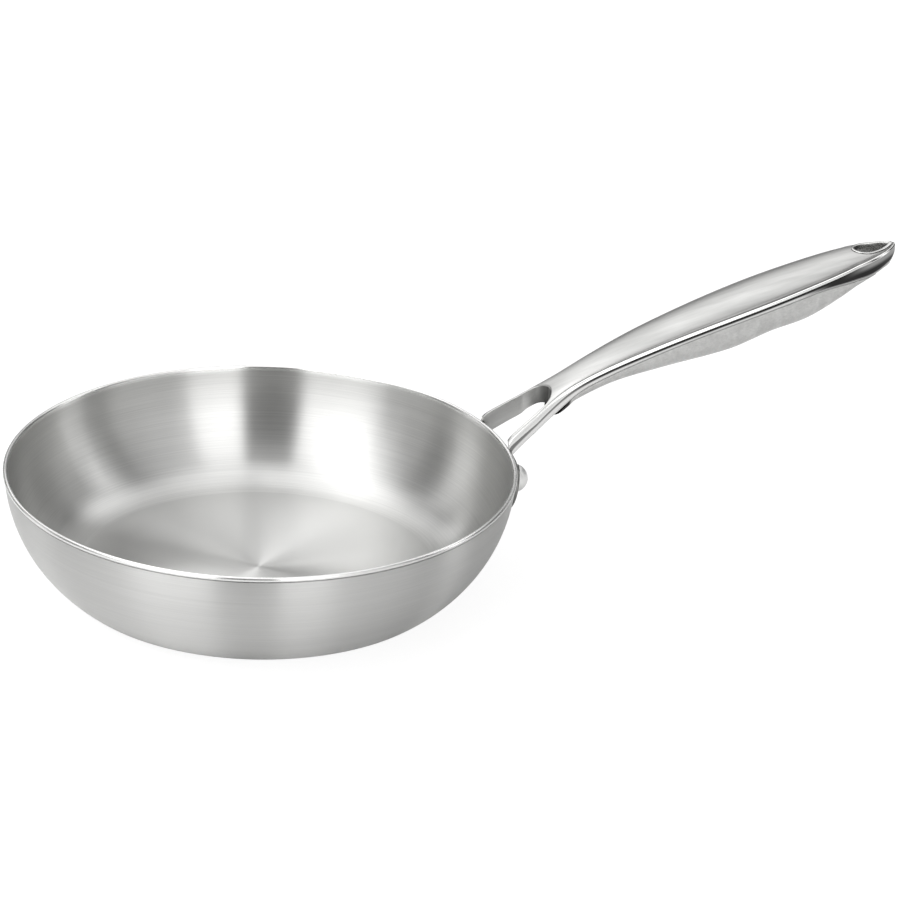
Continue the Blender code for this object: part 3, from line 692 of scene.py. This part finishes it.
top_x = np.unique(np.concatenate([
    even(FACE + GAP, slot_start, 18), quarter(slot_start, CROTCH, 30),
    quarter(CROTCH, CROTCH + 0.004, 14, False), even(CROTCH + 0.004, hole_back - 0.001, 90),
    quarter(hole_back - 0.001, hole_back, 8), quarter(hole_back, hole_back + 0.006, 22, False),
    quarter(hole_back + 0.006, hole_front, 34), quarter(hole_front, TIP - EDGE_ROUND, 8),
    quarter(TIP - EDGE_ROUND, TIP - 0.0002, 16)]).round(7))
spread = (1 - np.cos(np.linspace(0, math.pi, 34))) / 2
rounding = np.sin(np.linspace(0, math.pi / 2, 10))[1:]
down = np.array([0.03, 0.09, 0.16, 0.24, 0.33, 0.45, 0.58, 0.72, 0.88])
under = np.linspace(0, 1, 9)


def top_ring(x):
    """Half ring over each x, as y: across the back, round the edge, down the band, back below.

    It starts and ends at the slot's or the eye's side, or at y = 0 where there is neither.
    """
    inner = np.maximum(side_of(slot_edge, x[:, :1]), side_of(hole_edge, x[:, :1]))
    shoulder = np.maximum(side_of(round_edge, x[:, :1]), inner)
    width = np.maximum(half_width(x[:, :1]), shoulder)
    at_tip = ease((TIP - x[:, :1]) / 0.006)
    set_in = width - EDGE_STEP * at_tip * ease((width - inner) / 0.002)
    cut_in = np.maximum(width - EDGE_LOW, inner + (width - inner) * 0.5)
    return np.concatenate([inner + (shoulder - inner) * spread,
                           shoulder + (width - shoulder) * rounding,
                           set_in + 0 * down, cut_in + (inner - cut_in) * under], 1)


def top_heights(x, y):
    """Heights that go with the half ring's points.

    Back: the edge line plus half an ellipse.  Edge, slot's and eye's lips and the arms' ends: a
    quarter circle's fall.  Band: upright.  Underside: deeper on the inner side by the keel.
    """
    line = edge_height(x)
    foot = line - band(x)
    tops = len(spread)
    stop = tops + len(rounding)
    lower = stop + len(down)
    on_x, on_y = x[:, :stop], y[:, :stop]
    shoulder = np.maximum(side_of(round_edge, x[:, :tops]), 1e-5)
    crowned = np.sqrt(np.clip(1 - (y[:, :tops] / shoulder) ** 2, 0, 1))
    arm = 1 - ease((on_x - CROTCH + 0.012) / 0.030)
    lip = np.where(on_x > CROTCH + 0.05, EYE_LIP, SLOT_LIP)
    outside = nearest(on_x, on_y, outer_edge)
    hole = np.minimum(nearest(on_x, on_y, slot_edge), nearest(on_x, on_y, hole_edge))
    z = np.empty_like(y)
    z[:, :stop] = line[:, :stop] + BACK_LIFT
    z[:, :tops] += (crown(x[:, :tops]) - BACK_LIFT).clip(0) * crowned
    z[:, :stop] -= (EDGE_FALL + ARM_FALL * arm) * quarter_fall(1 - outside / EDGE_ROUND)
    z[:, :stop] -= lip * quarter_fall(1 - hole / lip)
    z[:, :stop] -= END_DROP * quarter_fall(1 - (on_x - FACE) / END_ROUND)
    side_top = z[:, stop - 1:stop]
    z[:, stop:lower] = side_top + (foot[:, :1] + EDGE_LOW - side_top) * down
    reach = (half_width(x[:, lower:]) - EDGE_LOW - y[:, lower:]) / (ARM_WALL - EDGE_LOW)
    z[:, lower:] = foot[:, lower:] - keel(x[:, lower:]) * np.clip(reach, 0, 1)
    return z


ring_points = len(spread) + len(rounding) + len(down) + len(under)
x_grid = np.repeat(top_x[:, None], ring_points, 1)
plain_y = top_ring(x_grid)
plain_z = top_heights(x_grid, plain_y)
share = (np.arange(END_ROWS) / END_ROWS)[:, None]
face_x = np.sqrt(pan_face(plain_z[:END_ROWS]) ** 2 - plain_y[:END_ROWS] ** 2)
x_grid[:END_ROWS] = face_x[:1] + (x_grid[END_ROWS:END_ROWS + 1] - face_x[:1]) * share
ring = np.stack([x_grid, plain_y, plain_z], 2)
open_side = np.maximum(side_of(slot_edge, top_x), side_of(hole_edge, top_x)) > 1e-6
back_end = len(spread)
edge_end = back_end + len(rounding)
band_end = edge_end + len(down)


def on_ring(start, stop, value=1.0):
    """A value on some points of the half ring, nothing on the others."""
    marks = np.zeros(ring_points)
    marks[start:stop] = value
    return marks


def grown(start, length):
    """From 0 to 1, eased over a length from a start along the handle, as a column."""
    return ease((top_x - start) / length)[:, None]


# Painted shade: the dark line in the step under the chamfer, which spreads over the band near
# the tip, the crease between back and chamfer, the slot's closed end, the round tip, and the
# satin back, which grows darker towards its edges past the neck.
SEAM_SHADE_DROP = 0.0013
SEAM_SHADE_SOFT = 0.0007
CREASE_SHADES = (0.2, 0.6, 0.75, 0.75, 0.2)
ARM_SHADE, SLOT_END_SHADE, TIP_SHADE, BACK_SHADE, BACK_SIDE_SHADE = 0.04, 0.70, 0.42, 0.16, 0.26
grip = grown(CROTCH + 0.002, 0.020)
to_tip = grown(along_grip(0.66), 0.022)
last = grown(along_grip(0.80), 0.020)
below = plain_z[:, edge_end - 1:edge_end] - plain_z
seam_shade = (1 - ease((below - SEAM_SHADE_DROP) / SEAM_SHADE_SOFT)) * (0.75 + 0.25 * grip)
near_tip = 1 - (0.14 + 0.26 * last) * last * (1 - ease((below - 0.0016) / 0.0022))
shade = on_ring(edge_end, band_end) * (seam_shade * (1 - to_tip) + near_tip * to_tip)
shade += on_ring(back_end - 4, back_end + 1, CREASE_SHADES) * (1 - grown(along_grip(0.84), 0.016))
at_slot = side_of(slot_edge, top_x)[:, None] > 1e-6
closed_end = grown(slot_start + 0.003, 0.006)
shade += (on_ring(0, 1) + on_ring(-1, None)) * at_slot * (ARM_SHADE + SLOT_END_SHADE * closed_end)
shade += on_ring(back_end + 1, edge_end, TIP_SHADE) * grown(along_grip(0.945), 0.006)
back_shade = on_ring(0, back_end, BACK_SHADE + BACK_SIDE_SHADE * spread ** 2)
shade = np.maximum(shade, back_shade * grown(along_grip(0.04), 0.035))
polish = on_ring(back_end, band_end) + 0 * grip
handle_top = half_grid("handle_crown", ring, open_side, shade=shade, polish=polish)
weld(handle_top, 42)


def brush_along(material, along_scale, upward=0.5):
    """Links the brushing to run along X: across it counts y and a share of z, along it x."""
    nodes, links = material.node_tree.nodes, material.node_tree.links
    where = nodes.new("ShaderNodeTexCoord")
    parts = nodes.new("ShaderNodeSeparateXYZ")
    links.new(where.outputs["Object"], parts.inputs[0])
    across = math_node(nodes, links, "MULTIPLY_ADD", parts.outputs["Z"], upward, parts.outputs["Y"])
    grain = nodes["brushing"]
    links.new(across, grain.inputs["Across"])
    flat = nodes.new("ShaderNodeVectorMath")
    flat.operation = "MULTIPLY"
    flat.inputs[1].default_value = (along_scale, along_scale * 0.2, 0.0)
    links.new(where.outputs["Object"], flat.inputs[0])
    links.new(flat.outputs[0], grain.inputs["Along"])


handle_metal = steel("satin_handle", (0.60, 0.60, 0.59), 0.38, bump=0.03, line_density=1500.0,
                     line_strength=0.22, roughness_spread=0.4, cloud=0.55)
brush_along(handle_metal, 110.0)
# The chamfer and band get a painted highlight, and the shade attribute paints shade over them.
polished_where(handle_metal, 0.16, PAINTED_HIGHLIGHT)
paint_shade(handle_metal, (0.035, 0.035, 0.035))
handle_top.data.materials.append(handle_metal)
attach(handle_top, "root")
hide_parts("handle_top")

# Handle underside.
# A hollow pressing welded under the casting, its belly shaped in waves for the fingers.  It is
# satin all over.  Its open front end is cut at a slant under the fork, and painted shade darkens
# its inside, the collar behind the mouth and the belly's lower side.
UNDER_INSET = 0.0007
UNDER_FIRST = CROTCH - 0.0004
UNDER_LAST = TIP - 0.0135
NECK_DEPTH, BELLY_DEPTH, FINGER_DEPTH = 0.0106, 0.0207, 0.0196
PALM_DEPTH, TAIL_DEPTH, LEAST_DEPTH = 0.0202, 0.0080, 0.0006
BELLY_POWER = 0.85
LID_ROWS = 5
MOUTH_SHARE = 0.93
MOUTH_DEPTH = 0.006
MOUTH_LENGTH = 0.009
MOUTH_SLANT = 0.0055
THROAT_SHARE = 0.8
COLLAR_END = UNDER_FIRST + 0.0072
COLLAR_SOFT = 0.0012
COLLAR_SHADE = 0.97
LOW_SIDE_SHADE = 0.45


def depth(x):
    """Depth of the belly under the edge line: a collar, then a wave through neck, fingers, palm."""
    return through([(CROTCH, NECK_DEPTH), (CROTCH + 0.0035, NECK_DEPTH * 1.10),
                    (CROTCH + 0.0072, NECK_DEPTH * 1.06), (CROTCH + 0.0092, NECK_DEPTH * 0.96),
                    (along_grip(0.075), NECK_DEPTH * 0.97), (along_grip(0.17), NECK_DEPTH * 1.06),
                    (along_grip(0.30), (NECK_DEPTH + BELLY_DEPTH) / 2 * 0.98),
                    (along_grip(0.50), BELLY_DEPTH), (along_grip(0.62), FINGER_DEPTH),
                    (along_grip(0.73), PALM_DEPTH), (along_grip(0.82), PALM_DEPTH * 0.80),
                    (UNDER_LAST, TAIL_DEPTH * 1.12), (TIP, TAIL_DEPTH)], x)


# Each ring is a flat lid and a superellipse below it.  The first rings lean back as they go down
# and are joined to a lip and a throat inside, which close the mouth.
under_x = np.unique(np.concatenate([
    quarter(UNDER_FIRST, UNDER_FIRST + 0.004, 10, False), even(UNDER_FIRST + 0.004, hole_back, 80),
    quarter(hole_back, UNDER_LAST, 24, False)]).round(7))
belly_turn = np.linspace(0, math.pi / 2, 40)
leaning = np.append(np.ones(LID_ROWS), 1 - np.sin(belly_turn) ** BELLY_POWER)
at_mouth = 1 - np.clip((under_x[:, None] - UNDER_FIRST) / MOUTH_LENGTH, 0, 1)
x = under_x[:, None] + MOUTH_SLANT * leaning * at_mouth
inner = side_of(hole_edge, x)
width = np.maximum(half_width(x) - UNDER_INSET, inner + GAP)
drop = np.maximum(depth(x) - band(x) - GAP, LEAST_DEPTH)
reach = np.append(np.linspace(0, 1, LID_ROWS + 1)[:-1], np.cos(belly_turn) ** BELLY_POWER)
belly_y = inner + (width - inner) * reach
fall = np.clip(1 - (belly_y / width) ** (2 / BELLY_POWER), 0, 1) ** (BELLY_POWER / 2)
fall[:, :LID_ROWS] = 0.0
ring = np.stack([x, belly_y, edge_height(x) - band(x) - GAP - drop * fall], 2)
lip = ring[0] * (1, MOUTH_SHARE, 1)
lip[:, 2] += 0.0005 * (1 - 2 * leaning)
throat = lip * (1, THROAT_SHARE, 1) + (MOUTH_DEPTH, 0.0, 0.0)
throat[:, 2] = edge_height(throat[:, 0]) - band(throat[:, 0]) - 0.0012 - 0.0010 * (1 - leaning)
ring = np.concatenate([[throat, lip], ring])
# Painted shade: the mouth's throat and lip, the front collar, and the belly's lower side.
hollow = np.zeros(ring.shape[:2])
hollow[:, LID_ROWS:] = LOW_SIDE_SHADE * ease((belly_turn - math.radians(48)) / math.radians(24))
at_front = 1 - ease((ring[:, :, 0] - COLLAR_END) / COLLAR_SOFT)
hollow = np.maximum(hollow, COLLAR_SHADE * at_front)
hollow[:3] = 1.0
open_side = np.append([False, False], inner[:, -1] > 1e-6)
underside = half_grid("handle_belly", ring, open_side, shade=hollow)
weld(underside, 50)
under_metal = steel("satin_underside", (0.60, 0.60, 0.59), 0.36, bump=0.05, line_density=1100.0,
                    line_strength=0.60, roughness_spread=0.5, cloud=0.40)
brush_along(under_metal, 620.0, upward=1.1)
paint_shade(under_metal, (0.02, 0.02, 0.02))
underside.data.materials.append(under_metal)
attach(underside, "root")
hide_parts("handle_underside")

# Eye sleeve.
# A thin polished tube that lines the hanging eye through both halves of the handle.  Its upper
# lip is rounded over and stands just proud of the back.  Painted shade darkens its inner wall,
# most near the foot.
SLEEVE_LIP = 0.0003
FLARE = SLEEVE_WALL + GAP + 0.0003
LIP_FALL = 0.9 * SLEEVE_LIP
loop = np.concatenate([eye_edge, (eye_edge * (1, -1))[::-1][1:-1]])
loop = loop[np.unique(np.linspace(0, len(loop) - 1, 260).astype(int))]
step = np.roll(loop, -1, 0) - np.roll(loop, 1, 0)
step /= np.linalg.norm(step, axis=1)[:, None]
normal = np.stack([-step[:, 1], step[:, 0]], 1)

# Round the wall from the foot: up inside, over the flared lip in half a circle, down outside.
lip_turn = np.linspace(math.pi, 0, 11)
out_by = np.concatenate([[0, 0, 0], FLARE / 2 * (1 + np.cos(lip_turn)), [SLEEVE_WALL] * 4])
up_by = np.concatenate([[0, 0.4, 0.8], np.ones(12), [0.8, 0.4, 0]])
lip_rise = np.concatenate([[0, 0, 0], LIP_FALL * (np.sin(lip_turn) - 1), [-LIP_FALL, 0, 0, 0]])
# Painted shade on the inner wall, darkest at the foot.
painted_shade_within = np.concatenate([[0.45, 0.28, 0.10, 0.10, 0.05], np.zeros(13)])
held_x = np.minimum(loop[:, :1], EYE_END)
outer_y = (loop + normal * SLEEVE_WALL)[:, 1:]
across_back = np.clip(np.abs(outer_y) / half_width(held_x), 0, 0.97)
high = edge_height(held_x) + crown(held_x) * np.sqrt(1 - across_back ** 2) + SLEEVE_LIP
low = edge_height(held_x) - np.maximum(depth(held_x), band(held_x)) - SLEEVE_LIP
level = low + (high - low) * up_by + lip_rise
place = loop[:, None, :] + normal[:, None, :] * out_by[:, None]
tube = np.concatenate([place, level[..., None]], 2)
faces = ring_quads(*tube.shape[:2], closed=True).reshape(-1, 4).tolist()
sleeve = mesh_piece("eye_tube", tube.reshape(-1, 3), faces)
mark_points(sleeve, "shade", painted_shade_within + 0 * loop[:, :1])
weld(sleeve, 50)
sleeve_metal = steel("polished_sleeve", (0.66, 0.66, 0.65), 0.26, bump=0.02, line_density=1500.0,
                     line_strength=0.05, roughness_spread=0.4, cloud=0.05)
brush_along(sleeve_metal, 60.0)
paint_shade(sleeve_metal, (0.04, 0.04, 0.04))
sleeve.data.materials.append(sleeve_metal)
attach(sleeve, "root")
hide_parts("eye_sleeve")

# Floor.
# A wide pale sheet under the pan.  It looks white and keeps a soft shadow, and in the steel it
# shows as a grey glow that fades to the right.
VIEW_TURN = math.radians(22.0)
FLOOR_REACH = 3.0
FLOOR_DROP = 0.0003
FLOOR_SIDES = 96
WHITE_GLOW = 0.90
rightwards = Vector((math.cos(VIEW_TURN), -math.sin(VIEW_TURN), 0.0))
angle = np.linspace(0, 2 * math.pi, FLOOR_SIDES + 1)[:-1]
floor_points = np.stack([FLOOR_REACH * np.cos(angle), FLOOR_REACH * np.sin(angle),
                         np.full(FLOOR_SIDES, -FLOOR_DROP)], 1)
floor = mesh_piece("floor_sheet", floor_points, [list(range(FLOOR_SIDES))])
paper = bpy.data.materials.new("pale_paper")
paper.use_nodes = True
nodes, links = paper.node_tree.nodes, paper.node_tree.links
nodes.remove(nodes["Principled BSDF"])
path = nodes.new("ShaderNodeLightPath")
where = nodes.new("ShaderNodeTexCoord")


def part_along(source, direction):
    """How far a place or a direction reaches along another direction: their dot product."""
    aim = nodes.new("ShaderNodeVectorMath")
    aim.operation = "DOT_PRODUCT"
    aim.inputs[1].default_value = direction
    links.new(source, aim.inputs[0])
    return aim.outputs["Value"]


def eased(value, low, high, start, end):
    """A value eased from start to end while the given one goes from low to high."""
    step = nodes.new("ShaderNodeMapRange")
    step.interpolation_type = "SMOOTHSTEP"
    for label, number in (("From Min", low), ("From Max", high), ("To Min", start), ("To Max", end)):
        step.inputs[label].default_value = number
    links.new(value, step.inputs["Value"])
    return step.outputs["Result"]


def joined(operation, *values):
    """All the values joined by one Math operation, from the left."""
    whole = values[0]
    for value in values[1:]:
        whole = math_node(nodes, links, operation, whole, value)
    return whole


in_steel = joined("MULTIPLY", path.outputs["Is Glossy Ray"],
                  eased(part_along(where.outputs["Object"], rightwards), 0.02, 0.20, 0.19, 0.08))
to_eye = joined("MULTIPLY", path.outputs["Is Camera Ray"], WHITE_GLOW)
glow = nodes.new("ShaderNodeEmission")
glow.inputs["Color"].default_value = (1.0, 1.0, 1.0, 1.0)
links.new(joined("ADD", in_steel, to_eye), glow.inputs["Strength"])
matt = nodes.new("ShaderNodeBsdfDiffuse")
sheet = nodes.new("ShaderNodeMix")
sheet.data_type = "RGBA"
links.new(path.outputs["Is Camera Ray"], sheet.inputs["Factor"])
sheet.inputs["A"].default_value = (0.55, 0.55, 0.55, 1.0)
sheet.inputs["B"].default_value = (0.16, 0.16, 0.16, 1.0)
links.new(sheet.outputs["Result"], matt.inputs["Color"])
both = nodes.new("ShaderNodeAddShader")
links.new(glow.outputs[0], both.inputs[0])
links.new(matt.outputs[0], both.inputs[1])
links.new(both.outputs[0], nodes["Material Output"].inputs["Surface"])
floor.data.materials.append(paper)

# Studio.
# Tall soft panels stand round the table and give the steel its upright reflections.  The eye
# sees plain white behind them.
PANEL_STRENGTH = 2.4
PANEL_STOPS = ((-180, 0.10), (-140, 0.05), (-132, 0.05), (-124, 0.08), (-118, 0.85), (-107, 0.85),
               (-102, 0.12), (-90, 0.08), (-86, 0.95), (-75, 1.05), (-66, 2.3), (-22, 2.3),
               (-16, 0.01), (7, 0.01), (11, 2.4), (31, 2.3), (36, 1.10), (48, 0.85), (70, 0.62),
               (76, 0.05), (86, 0.05), (92, 1.7), (99, 1.5), (105, 0.12), (150, 0.08),
               (164, 0.15), (180, 0.20))
towards = Vector((-math.sin(VIEW_TURN), -math.cos(VIEW_TURN), 0.0))
studio = bpy.data.worlds.new("studio")
bpy.context.scene.world = studio
studio.use_nodes = True
nodes, links = studio.node_tree.nodes, studio.node_tree.links
sky = nodes.new("ShaderNodeTexCoord").outputs["Generated"]
upright = nodes.new("ShaderNodeSeparateXYZ")
links.new(sky, upright.inputs[0])
height = upright.outputs["Z"]
bearing = joined("ARCTAN2", part_along(sky, rightwards), part_along(sky, towards))
panels = nodes.new("ShaderNodeValToRGB")
panels.color_ramp.interpolation = "EASE"
links.new(math_node(nodes, links, "MULTIPLY_ADD", bearing, 0.5 / math.pi, 0.5), panels.inputs["Fac"])
while len(panels.color_ramp.elements) < len(PANEL_STOPS):
    panels.color_ramp.elements.new(0.5)
for element, (degrees, strength) in zip(panels.color_ramp.elements, PANEL_STOPS):
    element.position = degrees / 360 + 0.5
for element, (degrees, strength) in zip(panels.color_ramp.elements, PANEL_STOPS):
    element.color = (*(strength / PANEL_STRENGTH,) * 3, 1.0)


def turned(low, high, start, end):
    """A value eased over bearings in degrees, which count to the right from the eye's side."""
    return eased(bearing, math.radians(low), math.radians(high), start, end)


# The panels fade upwards into an overhead glow.  Three high cards light the pan's corner, a low
# dark one keeps the wall's right end grey, and behind the pan stands a tall wash.
left_high = joined("MULTIPLY", eased(height, 0.52, 0.68, 0.0, 1.6),
                   eased(height, 0.78, 0.93, 1.0, 0.0), turned(108, 128, 0.0, 1.0))
right_high = joined("MULTIPLY", eased(height, 0.58, 0.72, 0.0, 1.2),
                    eased(height, 0.84, 0.96, 1.0, 0.0), turned(-92, -75, 0.0, 1.0),
                    turned(-44, -32, 1.0, 0.0))
far_high = joined("MULTIPLY", eased(height, 0.68, 0.80, 0.0, 1.7),
                  eased(height, 0.88, 0.97, 1.0, 0.0), turned(-150, -128, 0.0, 1.0),
                  turned(-100, -78, 1.0, 0.0))
right_low = joined("MULTIPLY", eased(height, 0.44, 0.60, 0.72, 0.0), turned(-104, -90, 0.0, 1.0),
                   turned(-62, -50, 1.0, 0.0))
front = joined("MULTIPLY", panels.outputs["Color"], PANEL_STRENGTH,
               eased(height, 0.62, 0.88, 1.0, 0.0), joined("SUBTRACT", 1.0, right_low))
front = joined("ADD", front, eased(height, 0.77, 0.97, 0.0, 1.50), left_high, right_high, far_high)
wash = joined("MULTIPLY", eased(height, 0.26, 0.46, 0.0, 1.35),
              eased(height, 0.86, 0.995, 1.0, 0.90), turned(140, 165, 1.0, 0.50))
below = joined("MULTIPLY", panels.outputs["Color"], eased(height, 0.26, 0.46, PANEL_STRENGTH, 0.0))
back = joined("ADD", wash, eased(height, 0.56, 0.72, 0.0, 0.55), below)
mixed = nodes.new("ShaderNodeMix")
links.new(joined("ADD", turned(-148, -130, 1.0, 0.0), turned(142, 162, 0.0, 1.0)),
          mixed.inputs["Factor"])
links.new(front, mixed.inputs["A"])
links.new(back, mixed.inputs["B"])
level = nodes.new("ShaderNodeMix")
links.new(nodes.new("ShaderNodeLightPath").outputs["Is Camera Ray"], level.inputs["Factor"])
links.new(mixed.outputs["Result"], level.inputs["A"])
level.inputs["B"].default_value = 1.0
links.new(level.outputs["Result"], nodes["Background"].inputs["Strength"])
nodes["Background"].inputs["Color"].default_value = (1.0, 1.0, 1.0, 1.0)

lamp_data = bpy.data.lights.new("overhead_softbox", "AREA")
lamp_data.shape = "SQUARE"
lamp_data.size = 0.5
lamp_data.energy = 8.0
lamp = bpy.data.objects.new("overhead_softbox", lamp_data)
lamp.location = (-0.75, 0.10, 0.80)
lamp.rotation_euler = Vector(lamp.location).to_track_quat("Z", "Y").to_euler()
lamp.visible_glossy = False
bpy.context.scene.collection.objects.link(lamp)

# Camera.
# A long lens looks down on the pan from the handle's left, turned a little in its mount.  It
# stands so that the rim's middle and its half width fall on their places in the frame.
LENS = 300.0
SENSOR = 36.0
FRAME = 900.0
VIEW_DROP = math.radians(24.6)
VIEW_ROLL = math.radians(0.9)
RIM_X, RIM_Y = 260.3, 470.4
RIM_HALF_PIXELS = 254.5
RIM_HALF_WIDTH = 0.11875
pixels = FRAME * LENS / SENSOR
distance = pixels / (RIM_HALF_PIXELS / RIM_HALF_WIDTH)
aim_point = Vector((0.0, 0.0, RIM_MIDDLE))
forward = -math.cos(VIEW_DROP) * towards - Vector((0.0, 0.0, math.sin(VIEW_DROP)))
up = rightwards.cross(forward)
rolled_side = math.cos(VIEW_ROLL) * rightwards + math.sin(VIEW_ROLL) * up
rolled_up = math.cos(VIEW_ROLL) * up - math.sin(VIEW_ROLL) * rightwards
to_rim = Vector(((RIM_X - FRAME / 2) / pixels, (FRAME / 2 - RIM_Y) / pixels, -1.0)).normalized()
swing = to_rim.rotation_difference(Vector((0.0, 0.0, -1.0))).to_matrix()
basis = Matrix((rolled_side, rolled_up, -forward)).transposed() @ swing
camera_data = bpy.data.cameras.new("camera")
camera_data.lens = LENS
camera_data.sensor_width = SENSOR
camera_data.clip_end = 50.0
camera = bpy.data.objects.new("camera", camera_data)
camera.matrix_world = Matrix.Translation(aim_point - distance * forward) @ basis.to_4x4()
bpy.context.scene.collection.objects.link(camera)
bpy.context.scene.camera = camera
bpy.context.scene.view_settings.view_transform = "Standard"
